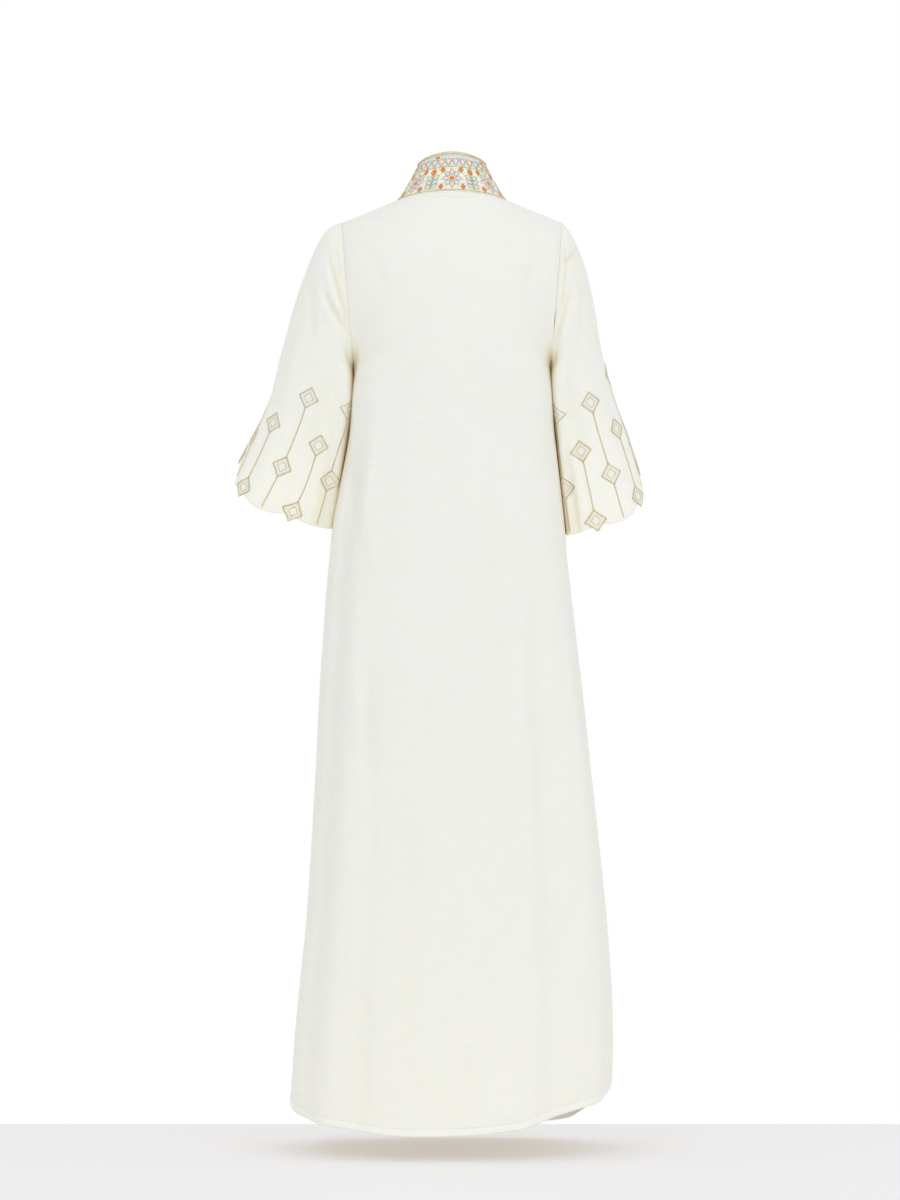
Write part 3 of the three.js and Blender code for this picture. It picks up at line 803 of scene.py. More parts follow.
THREADS = {
    Thread.ORANGE: SatinThread("Orange satin thread", "#F58A36", "#DE6E1E"),
    Thread.BLUE: SatinThread("Powder blue satin thread", "#D3EAF1", "#BBDDE9"),
    Thread.LILAC: SatinThread("Lilac pink satin thread", "#F7E0EA", "#EBCFDF"),
    Thread.MINT: SatinThread("Mint satin thread", "#DBF0E2", "#C0E2CE"),
}


@dataclass(frozen=True)
class Finishes:
    """The materials that the gown's pieces share."""

    linen: Material
    threads: list[Material]  # in Thread's order
    gilt: Material
    pearl: Material


# ---------------- making cloth and beads


@dataclass(frozen=True)
class Crease:
    """A soft ridge, or a trough where its depth is negative, along a line of (x, z) points on one face."""

    path: tuple[Point, ...]
    half_width: float
    depth: float
    facing: Facing = Facing.BACK
    fade: float = 0.3  # share of its length in which each end dies away
    turned: float = 0.05  # how much of the cloth's normal faces its way
    fully_turned: float = 0.35  # and where it has its whole depth
    shade: float = 0.75

    @property
    def warmth(self) -> float:
        """How much painted warm shade a trough gets for each millimetre of its depth. Narrow ones get most."""
        return self.shade / self.half_width

    @cached_property
    def legs(self) -> list[tuple[Vector, Vector, float, float]]:
        """Each straight stretch's start, its run, its length and the length before it."""
        found, before = [], 0.0
        for a, b in zip(self.path, self.path[1:]):
            start, run = Vector(a), Vector(b) - Vector(a)
            found.append((start, run, run.length, before))
            before += run.length
        return found

    @cached_property
    def reach(self) -> tuple[float, float, float, float]:
        """The lowest x and z and the highest x and z that it can touch."""
        xs, zs = [p[0] for p in self.path], [p[1] for p in self.path]
        w = self.half_width
        return min(xs) - w, min(zs) - w, max(xs) + w, max(zs) + w

    def height(self, point: Vector, normal: Vector) -> float:
        """Returns how far it lifts the cloth at a point whose outward normal is given."""
        low_x, low_z, high_x, high_z = self.reach
        if not (low_x < point.x < high_x and low_z < point.z < high_z):
            return 0.0
        towards = normal.y * self.facing.value
        if towards <= self.turned:
            return 0.0
        here = Vector((point.x, point.z))
        nearest, place = math.inf, 0.0
        for start, run, length, before in self.legs:
            share = min(max((here - start).dot(run) / length**2, 0.0), 1.0)
            distance = (start + run * share - here).length
            if distance < nearest:
                nearest, place = distance, before + share * length
        whole = self.legs[-1][3] + self.legs[-1][2]
        share = place / whole
        ends = smooth(share / self.fade) * smooth((1 - share) / self.fade)
        return self.depth * bump(nearest, self.half_width) * ends * smooth(towards / self.fully_turned)


def painted_trough_shade(creases: Sequence[Crease], point: Vector, normal: Vector) -> float:
    """Returns the painted warm shade in some creases' troughs at a point with that outward normal, from 0 up."""
    return sum(max(-crease.height(point, normal), 0.0) * crease.warmth for crease in creases)


@dataclass(frozen=True)
class ArmholeSeam:
    """How deep an armhole seam is drawn in: faintly all along, and more where folds gather into it."""

    plain: float
    gathers: Pair  # heights over which the folds under the arm gather in
    pucker: float | None = None  # the height of one fold that gathers in by itself
    pucker_half_height: float = 22
    gathered: float = 0.9

    def depth(self, z: float) -> float:
        """Returns how deep the seam is drawn in at a height."""
        depth = self.plain + self.gathered * ramp(z, *self.gathers)
        if self.pucker is not None:
            depth += self.gathered * bump(z - self.pucker, self.pucker_half_height)
        return depth


ARMHOLE_SEAMS = {
    Side.LEFT: ArmholeSeam(plain=0.05, gathers=(-208, -248)),
    Side.RIGHT: ArmholeSeam(plain=0.35, gathers=(-236, -260), pucker=-192),
}


@dataclass(frozen=True)
class Underarm:
    """Where the gown's side and the sleeve lie pressed together. Each pair runs from none to full."""

    heights: Pair = (-246, -272)
    painted_shade_heights: Pair = (-215, -265)  # where the warm shade between them is painted
    turned: Pair = (0.3, 0.9)  # how much of the cloth's normal points at the other side
    closest: float = -304
    closest_half_height: float = 74
    closest_press: float = 4.0

    def press(self, z: float, towards: float, plain: float) -> float:
        """Returns how far a side that faces so much towards the other comes out, at a height, to meet it."""
        together = ramp(z, *self.heights) * ramp(towards, *self.turned)
        return together * (plain + self.closest_press * bump(z - self.closest, self.closest_half_height))


UNDERARM = Underarm()


@dataclass(frozen=True)
class Unevenness:
    """A soft unevenness of hand-finished cloth, the same in every run."""

    depth: float
    size: float
    seed: float
    tall: float = 1.0  # how many times taller than wide it is
    deepening: float = 0.0  # how much deeper it is at the gown's foot
    heights: Pair = (-200, -900)  # over which it deepens

    def at(self, point: Vector) -> float:
        """Returns how far it lifts the cloth at a point."""
        squat = Vector((point.x, point.y, point.z / self.tall))
        depth = self.depth + self.deepening * ramp(point.z, *self.heights)
        return depth * noise.noise(squat / self.size + Vector((self.seed, self.seed * 0.7, 0)))


@dataclass(frozen=True)
class Hem:
    """A hem turned double and topstitched. It stands proud, and its layers drag a little on the slant."""

    depth: float = 12.0
    lift: float = 0.45
    step: float = 0.8  # half the height over which the single cloth rises to it
    drag: float = 0.28
    drag_apart: float = 15.0
    drag_slant: float = 13.0
    drag_fade: float = 3.0
    dent: float = 0.35  # beside the stitches
    dent_below: float = 1.2
    dent_width: float = 1.5
    rolled: float = 0.3  # how far its very edge rolls in

    def relief(self, to_edge: float, across: float) -> float:
        """Returns how far the cloth is lifted at a distance from its edge, and at a place across."""
        dragged = ramp(to_edge, self.depth, self.depth - self.drag_fade) * smooth(to_edge / 2)
        lift = self.drag * dragged * math.sin(2 * math.pi * (across / self.drag_apart + to_edge / self.drag_slant))
        lift += self.lift * ramp(to_edge, self.depth + self.step, self.depth - self.step)
        lift -= self.dent * fading(to_edge - self.depth + self.dent_below, self.dent_width)
        return lift - self.rolled * math.exp(-to_edge)


class ClothGrid:
    """A grid of cloth being shaped, in millimetres, kept with the flat distances across and down it."""

    DOUBLED = 0.4  # how much of its own colour a doubled place shows

    def __init__(
        self, columns: Sequence[float], rows: Sequence[float], shape: Callable[[float, float], Vector]
    ) -> None:
        """Lays a grid and shapes it.

        Args:
            columns: What each column passes to shape.
            rows: What each row passes to shape, from the top.
            shape: Gives a crossing's place.
        """
        self.bm = bmesh.new()
        self.flat = self.bm.loops.layers.uv.new("Cloth")
        # The "edge" layer holds each vertex's share of painted warm shade and light.
        self.thin = self.bm.verts.layers.float.new("edge")
        self.doubled = self.bm.verts.layers.float.new("doubled")
        bmesh.ops.create_grid(self.bm, x_segments=len(columns) - 1, y_segments=len(rows) - 1, size=0.5)
        laid = sorted(self.bm.verts, key=lambda v: (round(v.co.y, 5), v.co.x))
        wide = len(columns)
        self.grid = [laid[j * wide : (j + 1) * wide] for j in range(len(rows))]
        for row, down in zip(self.grid, rows):
            for vert, across in zip(row, columns):
                vert.co = shape(across, down)
        middle = wide // 2
        self.across = [self._lengths(row, middle) for row in self.grid]
        self.down = list(zip(*(self._lengths(column, 0) for column in zip(*self.grid))))
        self.bm.verts.index_update()
        self._add_uv()

    @staticmethod
    def _lengths(line: Sequence[bmesh.types.BMVert], zero: int) -> list[float]:
        """Returns the length along a line of vertices to each of them from one of them."""
        lengths = running_lengths([vert.co for vert in line])
        return [length - lengths[zero] for length in lengths]

    def _add_uv(self) -> None:
        """Lays the flat distances out as the UV map, in metres."""
        flat = {
            vert: (u * MM, -v * MM)
            for row, us, vs in zip(self.grid, self.across, self.down)
            for vert, u, v in zip(row, us, vs)
        }
        for face in self.bm.faces:
            for loop in face.loops:
                loop[self.flat].uv = flat[loop.vert]

    def face(self, towards: Vector) -> None:
        """Turns the right side of the cloth to face the way that is given, at the middle of the grid."""
        self.bm.normal_update()
        row = self.grid[len(self.grid) // 2]
        if row[len(row) // 2].normal.dot(towards) < 0:
            bmesh.ops.reverse_faces(self.bm, faces=self.bm.faces[:])
        self.bm.normal_update()

    def relieve(self, height: Relief) -> None:
        """Lifts every vertex along its normal.

        Args:
            height: Gives the lift from the vertex's place, its normal, its row and its column.
        """
        self.bm.normal_update()
        lifts = [
            (vert, vert.normal * height(vert.co, vert.normal, j, i))
            for j, row in enumerate(self.grid)
            for i, vert in enumerate(row)
        ]
        for vert, lift in lifts:
            vert.co += lift

    def mark(self, painted_shade_and_light: Callable[[int, int], float], hem_depth: float = 0.0) -> None:
        """Stores at every vertex its share of painted warm shade and light, and whether it is turned double.

        Args:
            painted_shade_and_light: Gives that share of painted warm shade and light, from 0 to 1, from the row and the
                column.
            hem_depth: How far up from the bottom row the cloth is double.
        """
        for j, row in enumerate(self.grid):
            for i, vert in enumerate(row):
                vert[self.thin] = painted_shade_and_light(j, i)
                if hem_depth:
                    to_edge = self.to_bottom(j, i)
                    vert[self.doubled] = self.DOUBLED * ramp(to_edge, hem_depth + 1, hem_depth - 1)

    def to_bottom(self, row: int, column: int) -> float:
        """Returns the flat distance down a column from a row to the bottom row."""
        return self.down[-1][column] - self.down[row][column]

    def line_above_hem(self, distance: float) -> Line:
        """Returns the points and normals of a line that keeps its distance from the bottom row."""
        return [self._at(i, whole - distance) for i, whole in enumerate(self.down[-1])]

    def line_below_top(self, distance: float, first: int, last: int) -> Line:
        """Returns the points and normals of a line that keeps its distance from the top row."""
        return [self._at(i, distance) for i in range(first, last)]

    def _at(self, column: int, down: float) -> tuple[Vector, Vector]:
        """Returns the point and normal a length down a column."""
        j, share = stretch_at([row[column] for row in self.down], down)
        a, b = self.grid[j][column], self.grid[j + 1][column]
        return a.co.lerp(b.co, share), a.normal.lerp(b.normal, share).normalized()


def make_piece(bm: bmesh.types.BMesh, name: str, materials: Sequence[Material]) -> bpy.types.Object:
    """Turns a finished shape, in millimetres, into a piece of the object.

    Args:
        bm: The shape, which is freed.
        name: The piece's name.
        materials: Its materials, in the order of its faces' numbers.

    Returns:
        The piece, riding on the frame's one body.
    """
    bmesh.ops.scale(bm, vec=(MM, MM, MM), verts=bm.verts)
    mesh = bpy.data.meshes.new(name)
    bm.to_mesh(mesh)
    bm.free()
    mesh.shade_smooth()
    piece = bpy.data.objects.new(name, mesh)
    bpy.context.scene.collection.objects.link(piece)
    for material in materials:
        mesh.materials.append(material)
    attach(piece, "root")
    return piece


def thicken(piece: bpy.types.Object, thickness: float) -> None:
    """Gives a sheet of cloth its thickness, half to each side of it."""
    wall = piece.modifiers.new("Cloth thickness", "SOLIDIFY")
    wall.thickness = thickness * MM
    wall.offset = 0.0
    wall.use_rim = True


def upright(point: Vector, normal: Vector, along: Vector, size: Sequence[float]) -> Matrix:
    """Returns the matrix that sets a small shape on a surface.

    Args:
        point: Where its middle goes.
        normal: The way its own Z faces.
        along: Roughly the way its own X runs.
        size: What it is scaled by along its own X, Y and Z.
    """
    side = normal.cross(along).normalized()
    ahead = side.cross(normal).normalized()
    turned = Matrix((ahead, side, normal.normalized())).transposed().to_4x4()
    return Matrix.Translation(point) @ turned @ Matrix.Diagonal((*size, 1.0))


class Repeated:
    """A mesh of one small shape, set again and again."""

    def __init__(self, template: bmesh.types.BMesh) -> None:
        """Keeps the small shape, and starts empty.

        Args:
            template: The small shape, which is freed.
        """
        self.template = bpy.data.meshes.new("Template")
        template.to_mesh(self.template)
        template.free()
        self.bm = bmesh.new()
        self.count = 0

    @classmethod
    def beads(cls) -> "Repeated":
        """Starts a mesh of round beads of diameter 1."""
        bead = bmesh.new()
        bmesh.ops.create_icosphere(bead, subdivisions=1, radius=0.5)
        return cls(bead)

    @classmethod
    def stitches(cls) -> "Repeated":
        """Starts a mesh of stitches of length and width 1, flat beneath and sunk at both ends."""
        taper, sink = 0.5, 0.3
        stitch = bmesh.new()
        bmesh.ops.create_cube(stitch, size=1.0)
        lengthwise = [edge for edge in stitch.edges if abs((edge.verts[0].co - edge.verts[1].co).x) > 0.5]
        bmesh.ops.subdivide_edges(stitch, edges=lengthwise, cuts=2)
        ends = [v for v in stitch.verts if abs(v.co.x) > 0.4]
        bmesh.ops.scale(stitch, vec=(1.0, taper, taper), verts=ends)
        bmesh.ops.translate(stitch, vec=(0.0, 0.0, -sink), verts=ends)
        return cls(stitch)

    def set_at(self, matrix: Matrix) -> None:
        """Adds one more of the small shape."""
        one = self.template.copy()
        one.transform(matrix)
        self.bm.from_mesh(one)
        bpy.data.meshes.remove(one)
        self.count += 1

    def follow(self, line: Line, pitch: float, size: Sequence[float], lift: float, slant: float = 0.0) -> None:
        """Sets the small shape evenly along a line.

        Args:
            line: The line's points and outward normals.
            pitch: The distance from each to the next, nearly.
            size: What each is scaled by along the line, across it and outwards.
            lift: How far each middle stands off the line.
            slant: Degrees that each is turned from the line.
        """
        lengths = running_lengths([point for point, _ in line])
        count = max(round(lengths[-1] / pitch), 1)
        for k in range(count):
            i, share = stretch_at(lengths, lengths[-1] * (k + 0.5) / count)
            (a, na), (b, nb) = line[i], line[i + 1]
            normal = na.lerp(nb, share).normalized()
            along = Matrix.Rotation(math.radians(slant), 3, normal) @ (b - a)
            self.set_at(upright(a.lerp(b, share) + normal * lift, normal, along, size))

    def piece(self, name: str, material: Material, slot: str) -> bpy.types.Object:
        """Returns everything that was set, as one piece."""
        bpy.data.meshes.remove(self.template)
        return make_piece(self.bm, name, [material])


class Beading:
    """The beads of one piece's needlework."""

    def __init__(self) -> None:
        """Starts with no beads."""
        self.gilt, self.pearl = Repeated.beads(), Repeated.beads()

    def pieces(self, names: tuple[str, str], finishes: Finishes) -> list[bpy.types.Object]:
        """Returns the gilt beads and the pearl beads as two pieces of those names."""
        log.info("%s: %d gilt beads, %d pearl beads", names[0], self.gilt.count, self.pearl.count)
        gilt = self.gilt.piece(names[0], finishes.gilt, "embroidered_cloth")
        return [gilt, self.pearl.piece(names[1], finishes.pearl, "embroidered_cloth")]


# ---------------- the gown's panels


@dataclass(frozen=True)
class Panel:
    """The back or the front of the gown: one length of linen from the neck and shoulders to the hem."""

    facing: Facing
    cut: Pair  # width and length of the flat cloth, in metres
    cut_area: float
    creases: tuple[Crease, ...]
    hem: Hem = Hem()
    thickness: float = 1.1
    columns_a_side: int = 77  # a multiple of 11, so that one of them meets the neck point
    broad: Unevenness = Unevenness(0.5, 85, 3.1)
    lengthwise: Unevenness = Unevenness(0.35, 48, 8.3, tall=6, deepening=0.9)
    seam_dip: float = 1.1
    neck_dip: float = 0.44
    seam_width: float = 3.0
    underarm: float = -265  # above it the sides are armhole seams
    arm_foot: Pair = (-570, -500)  # heights over which the sleeves' hold on it ends
    press: float = 1.4  # how far its sides come to meet the sleeves
    fill: float = 4.2  # how far its corners beside the arms are filled out
    corner: float = 0.72  # how much of the normal points at the arm there
    corner_half_width: float = 0.4
    # Painted warm shade: a faint line along the side seams, and a deep band beside the arms, where the sleeves lie
    # against the sides.
    seam_painted_shade: float = 0.08
    seam_shade_span: Pair = (0.94, 1.0)  # shares of the way to the side
    arm_painted_shade: float = 0.85
    arm_shade_span: Pair = (0.78, 0.92)
    arm_shade_foot: Pair = (-560, -500)
    stitch: Triple = (2.6, 0.55, 0.5)
    stitch_lift: float = 0.1
    stitch_pitch: float = 3.6
    patch_depth: float = 12.5  # of the lower edge of the patch inside the neck
    patch_columns: int = 8

    @property
    def name(self) -> str:
        """The facing as a word."""
        return self.facing.name.lower()

    @property
    def columns(self) -> list[float]:
        """Places across the panel. The front has two in the middle, for the two edges of its slit."""
        left = [i / self.columns_a_side for i in range(self.columns_a_side, 0, -1)]
        middle = (1e-6, -1e-6) if self.facing is Facing.FRONT else (0.0,)
        return [*left, *middle, *(-a for a in reversed(left))]

    @property
    def rows(self) -> list[float]:
        """Places down the panel, closer at the neck seam and at the hem."""
        neck = [0, 0.007, 0.015, 0.024, 0.035, 0.05]
        return [*neck, *spread(0.066, 1, 56), *spread(1, 1.985, 184)[1:], *spread(1.985, 2, 8)[1:]]

    def relief(self, cloth: ClothGrid) -> Relief:
        """Returns what gives the panel's creases, seams and hem at each vertex."""
        right_edge, left_edge = [row[-1] for row in cloth.across], [row[0] for row in cloth.across]

        def height(point: Vector, normal: Vector, j: int, i: int) -> float:
            """Returns how far one vertex of the panel is lifted."""
            across, from_top = cloth.across[j][i], cloth.down[j][i]
            to_side = min(right_edge[j] - across, across - left_edge[j])
            lift = sum(crease.height(point, normal) for crease in self.creases)
            lift += self.broad.at(point) + self.lengthwise.at(point)
            side_seam = self.seam_dip * fading(to_side, self.seam_width)
            if point.z > self.underarm:
                armhole = ARMHOLE_SEAMS[Side.LEFT if point.x > 0 else Side.RIGHT]
                lift -= armhole.depth(point.z) * fading(to_side, self.seam_width)
                side_seam = 0.0
            lift -= max(side_seam, self.neck_dip * fading(from_top, self.seam_width))
            held = ramp(point.z, *self.arm_foot)
            corner = bump(abs(normal.x) - self.corner, self.corner_half_width)
            lift += held * UNDERARM.press(point.z, abs(normal.x), self.press)
            lift += held * self.fill * ramp(point.z, *UNDERARM.heights) * corner
            return lift + self.hem.relief(cloth.to_bottom(j, i), across)

        return height

    def open_slit(self, cloth: ClothGrid) -> None:
        """Opens the neck slit between the front's two middle columns, and joins them below it."""
        middle = len(cloth.grid[0]) // 2
        form = PANELS[self.facing]
        opened = sum(1 for down in self.rows if down < form.slit_foot)
        slit = [
            cloth.bm.faces.get((upper[middle - 1], upper[middle], lower[middle], lower[middle - 1]))
            for upper, lower in zip(cloth.grid[:opened], cloth.grid[1 : opened + 1])
        ]
        bmesh.ops.delete(cloth.bm, geom=slit, context="FACES_ONLY")
        joined = {row[middle]: row[middle - 1] for row in cloth.grid[opened:]}
        bmesh.ops.weld_verts(cloth.bm, targetmap=joined)

    def build(self, finishes: Finishes) -> None:
        """Makes the panel and its stitching.

        Args:
            finishes: The gown's materials.
        """
        form = PANELS[self.facing]
        cloth = ClothGrid(self.columns, self.rows, form.point)
        cloth.face(Vector((0, self.facing.value, 0)))
        cloth.relieve(self.relief(cloth))
        half = len(self.columns) // 2

        def warmth(j: int, i: int) -> float:
            """Returns a vertex's share of painted warm shade, which is most beside the arms and in the troughs."""
            to_side = abs(i - half) / half
            vert = cloth.grid[j][i]
            at_seam = self.seam_painted_shade * ramp(to_side, *self.seam_shade_span)
            beside_arm = ramp(vert.co.z, *UNDERARM.painted_shade_heights) * ramp(vert.co.z, *self.arm_shade_foot)
            beside_arm *= self.arm_painted_shade * ramp(to_side, *self.arm_shade_span)
            return min(max(at_seam, beside_arm) + painted_trough_shade(self.creases, vert.co, vert.normal), 1.0)

        cloth.mark(warmth, self.hem.depth)
        cloth.bm.normal_update()
        stitches = Repeated.stitches()
        lift = self.thickness / 2 + self.stitch_lift
        stitches.follow(cloth.line_above_hem(self.hem.depth), self.stitch_pitch, self.stitch, lift)
        if self.facing is Facing.BACK:
            patch = cloth.line_below_top(self.patch_depth, half - self.patch_columns, half + self.patch_columns + 1)
            stitches.follow(patch, self.stitch_pitch, self.stitch, lift)
        else:
            self.open_slit(cloth)
        panel = make_piece(cloth.bm, f"{self.name}_cloth", [finishes.linen])
        thicken(panel, self.thickness)
        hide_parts(f"{self.name}_panel")
        count = stitches.count
        sewing = stitches.piece(f"{self.name}_stitching", finishes.linen, "ivory_cloth")
        log.info("%s: %d columns, %d rows, %d stitches", panel.name, len(self.columns), len(self.rows), count)


# ---------------- the sleeves


SEWN = 1.04  # from bead to bead, in lengths of a bead, where each is sewn down alone
STRUNG = 1.02  # and where they lie strung together


def diamond(half_width: float, half_height: float) -> list[Point]:
    """Returns the corners of a lozenge, from its top."""
    return [(0, half_height), (half_width, 0), (0, -half_height), (-half_width, 0)]


def closed(outline: Sequence[Point]) -> list[Point]:
    """Returns an outline with its first point again at its end."""
    return [*outline, outline[0]]


@dataclass(frozen=True)
class Lozenge:
    """A plain lozenge of beads: a gilt outline, a pearl row inside it, a gilt row inside that and a centre bead."""

    half_length: float = 16.5
    half_width: float = 15.0
    # each ring's share of the full size, its beads' diameter, and whether it is gilt
    rings: tuple[tuple[float, float, bool], ...] = ((1.0, 2.3, True), (0.74, 1.6, False), (0.5, 1.15, True))
    bead_height: float = 0.6  # of its width, where a ring's beads are sunk in the cloth
    side_steps: int = 4  # the stretches in which each side follows the cloth
    picot: float = 1.3  # the little bars that stand out all round it
    bar: Triple = (1.0, 3.0, 0.9)
    bar_pitch: float = 3.4
    bar_sink: float = 0.3
    centre: Triple = (2.6, 2.6, 1.6)

    def outline(self, size: float) -> list[Point]:
        """Returns the corners of the lozenge at a size, the first one again at the end."""
        return closed(diamond(self.half_width * size, self.half_length * size))

    def set_on(self, place: Place, beads: Beading, lift: float) -> None:
        """Sets its beads on a surface.

        Args:
            place: What sets the lozenge's own millimetres on the surface.
            beads: Where its beads go.
            lift: The surface's height.
        """
        for size, bead, is_gilt in self.rings:
            corners = self.outline(size)
            flat: list[Point] = []
            for (x0, y0), (x1, y1) in zip(corners, corners[1:]):
                flat += zip(spread(x0, x1, self.side_steps)[:-1], spread(y0, y1, self.side_steps)[:-1])
            line = surface_line(place, closed(flat))
            kind = beads.gilt if is_gilt else beads.pearl
            kind.follow(line, bead * SEWN, (bead, bead, bead * self.bead_height), lift)
        corners = self.outline(1 + self.picot / self.half_width)
        for side in zip(corners, corners[1:]):
            beads.gilt.follow(surface_line(place, side), self.bar_pitch, self.bar, lift - self.bar_sink)
        point, normal = surface_line(place, [(0, 0)])[0]
        beads.pearl.set_at(upright(point + normal * lift, normal, Vector((0, 0, 1)), self.centre))


def surface_line(place: Place, flat: Sequence[Point]) -> Line:
    """Returns the points and outward normals of a line drawn on a surface.

    Args:
        place: What sets flat millimetres on the surface.
        flat: The line's flat points.
    """
    line = []
    for x, y in flat:
        on, off = place(x, y, 0.0), place(x, y, 1.0)
        line.append((on, (off - on).normalized()))
    return line


@dataclass(frozen=True)
class Sleeve:
    """One bell sleeve with a scalloped cuff, and the beaded lozenges on their stems up from it."""

    side: Side
    cut: Pair
    cut_area: float
    creases: tuple[Crease, ...]
    thickness: float = 1.1
    columns_a_scallop: int = 36
    seam_row: int = 2  # the row at the armhole seam, below its allowance
    seam_width: float = 2.6
    lap: float = 0.05  # how much lower it lies than the gown's edge at the armhole seam
    allowance_drop: float = 1.0  # and how much lower again its allowance runs
    allowance_over: float = 2.0
    underarm_dip: float = 0.6  # of the seam down its underarm
    underarm_width: float = 2.4
    cuff_dip: float = 0.3  # of the cuff's stitched line and of its very edge
    cuff_line: float = 7.0
    cuff_width: float = 1.5
    broad: Unevenness = Unevenness(0.6, 70, 5.7)
    lengthwise: Unevenness = Unevenness(0.4, 34, 2.9, tall=3)
    drape_over: float = 12.0  # from the armhole seam, where the drape has its whole depth
    press: float = 2.2  # how far the inner side comes to meet the body
    fill: float = 6.2  # how far the corners beside the body are filled out
    fill_heights: Pair = (-240, -290)
    corner: float = 0.7  # how much of the normal points at the body there
    corner_half_width: float = 0.45
    corner_turned: float = 0.3  # and how much to the back or the front
    shoulder_ease: float = 1.8  # how far the shoulder's corner is eased down
    shoulder: float = 0.06  # where along the sleeve that corner is
    shoulder_reach: float = 26.0
    # Painted warm shade where the sleeve lies against the body.
    body_painted_shade: float = 0.8
    body_shade_turned: Pair = (0.72, 1.0)  # how much of the normal points at the body
    edge_painted_light: float = 0.06  # painted light through the single cloth near the cuff's edge, and painted shade at the armhole seam
    cuff_light_over: float = 50.0
    armhole_shade_over: float = 9.0
    stem_lean: float = 30.0  # degrees that most stems are turned at the armhole
    fore_lean: float = -65.0  # for the stem that rises just before the cuff's outer edge
    outer_lean: float = -65.0  # for the one that rises just behind it
    outermost: Pair = (-60, 20)  # degrees round the cuff between which those two rise
    lozenge: Lozenge = Lozenge()
    cusp_lozenges: tuple[float, ...] = (15.0, 127.0)  # distances from the cuff's edge
    middle_lozenges: tuple[float, ...] = (75.0, 192.0)
    stem_bead: float = 2.2
    stem_foot: float = 4.0  # how far above the cuff's edge the long stems start
    stem_step: float = 6.0  # the stretches in which a stem follows the cloth
    nudge_turn: float = 0.5  # small steps by which the cloth's slope is taken
    nudge_slide: float = 0.002

    @property
    def form(self) -> SleeveForm:
        """The sleeve's form."""
        return SLEEVES[self.side]

    @property
    def name(self) -> str:
        """The side as a word."""
        return self.side.name.lower()

    @property
    def rows(self) -> list[float]:
        """Shares of the way down the cloth, closer at the armhole and at the cuff."""
        armhole = [-0.014, -0.007, 0, 0.006, 0.013, 0.022, 0.034]
        return [*armhole, *spread(0.05, 0.965, 112), *spread(0.965, 1, 8)[1:]]

    def lean(self, scallop: float) -> float:
        """Returns the degrees that a stem's line is turned at the armhole, towards the nearer of back and front."""
        end = (self.form.cuff_end(round(scallop, 6))[0] + 180) % 360 - 180
        if self.outermost[0] < end < self.outermost[1]:
            return self.outer_lean if end > 0 else self.fore_lean
        across = math.sin(math.radians(end))
        return self.stem_lean * math.copysign(min(1.5 * abs(across), 1.0), across)

    @lru_cache(maxsize=64)
    def line_lengths(self, scallop: float) -> tuple[list[float], list[float]]:
        """Returns shares down a stem's line, and the length from each to the cuff's edge, shortest first."""
        form, lean = self.form, self.lean(scallop)
        shares = spread(1, 0, 120)
        return shares, running_lengths([form.point(*form.down_cloth(scallop, share, lean)) for share in shares])

    def spot(self, scallop: float, above: float) -> Pair:
        """Returns degrees round the arm and the place along it, so far up a stem's line from the cuff's edge."""
        shares, lengths = self.line_lengths(scallop)
        i, share = stretch_at(lengths, above)
        return self.form.down_cloth(scallop, mix(shares[i], shares[i + 1], share), self.lean(scallop))

    def slopes(self, around: float, along: float) -> tuple[Vector, Vector, Vector]:
        """Returns a point of the sleeve's form, and how it moves for each degree round the arm and along it."""
        here = self.form.point(around, along)
        by_turn = self.form.point(around + self.nudge_turn, along) - here
        by_slide = self.form.point(around, along + self.nudge_slide) - here
        return here, by_turn / self.nudge_turn, by_slide / self.nudge_slide

    def placed(self, scallop: float, above: float) -> Place:
        """Returns what sets a motif's own millimetres on the sleeve: y up its stem, x square to it and z outwards.

        Args:
            scallop: Which stem's line the motif is on.
            above: Distance of its middle above the cuff's edge.
        """
        start = self.spot(scallop, above)
        here, out = self.on_cloth(*start)
        up = (self.on_cloth(*self.spot(scallop, above + 3))[0] - here).normalized()
        side = up.cross(out).normalized()
        up = out.cross(side)

        def place(x: float, y: float, z: float) -> Vector:
            """Returns the place on the sleeve of one point of the motif."""
            around, along = start
            # Each pass corrects for how the cloth curves away from the flat motif.
            for _ in range(3):
                point, by_turn, by_slide = self.slopes(around, along)
                left = here + side * x + up * y - point
                a, b, c, d = by_turn.dot(side), by_slide.dot(side), by_turn.dot(up), by_slide.dot(up)
                p, q, scale = left.dot(side), left.dot(up), a * d - b * c
                around += max(min((p * d - q * b) / scale, 12.0), -12.0)
                along += max(min((q * a - p * c) / scale, 0.05), -0.05)
            point, normal = self.on_cloth(around, along)
            return point + normal * z

        return place

    def drape(self, point: Vector, normal: Vector) -> float:
        """Returns how far creases, unevenness and the body's side lift the cloth at a point with that normal."""
        inwards = -normal.x * self.side.value
        lift = sum(crease.height(point, normal) for crease in self.creases)
        # The unevenness goes by place, so that it meets itself where the grid closes.
        lift += self.broad.at(point) + self.lengthwise.at(point)
        lift += UNDERARM.press(point.z, inwards, self.press)
        corner = bump(inwards - self.corner, self.corner_half_width) * smooth(abs(normal.y) / self.corner_turned)
        lift += self.fill * corner * ramp(point.z, *self.fill_heights)
        from_corner = (point - self.form.point(0, self.shoulder)).length
        return lift - self.shoulder_ease * bump(from_corner, self.shoulder_reach)

    def on_cloth(self, around: float, along: float) -> tuple[Vector, Vector]:
        """Returns a point of the draped cloth and its outward normal."""
        point, by_turn, by_slide = self.slopes(around, along)
        normal = by_slide.cross(by_turn).normalized() * self.side.value
        return point + normal * self.drape(point, normal), normal

    def relief(self, cloth: ClothGrid) -> Relief:
        """Returns what gives the sleeve's drape, seams and cuff edge at each vertex."""

        def height(point: Vector, normal: Vector, j: int, i: int) -> float:
            """Returns how far one vertex of the sleeve is lifted."""
            to_cuff, from_seam = cloth.to_bottom(j, i), cloth.down[j][i] - cloth.down[self.seam_row][i]
            lift = self.drape(point, normal) * smooth(from_seam / self.drape_over)
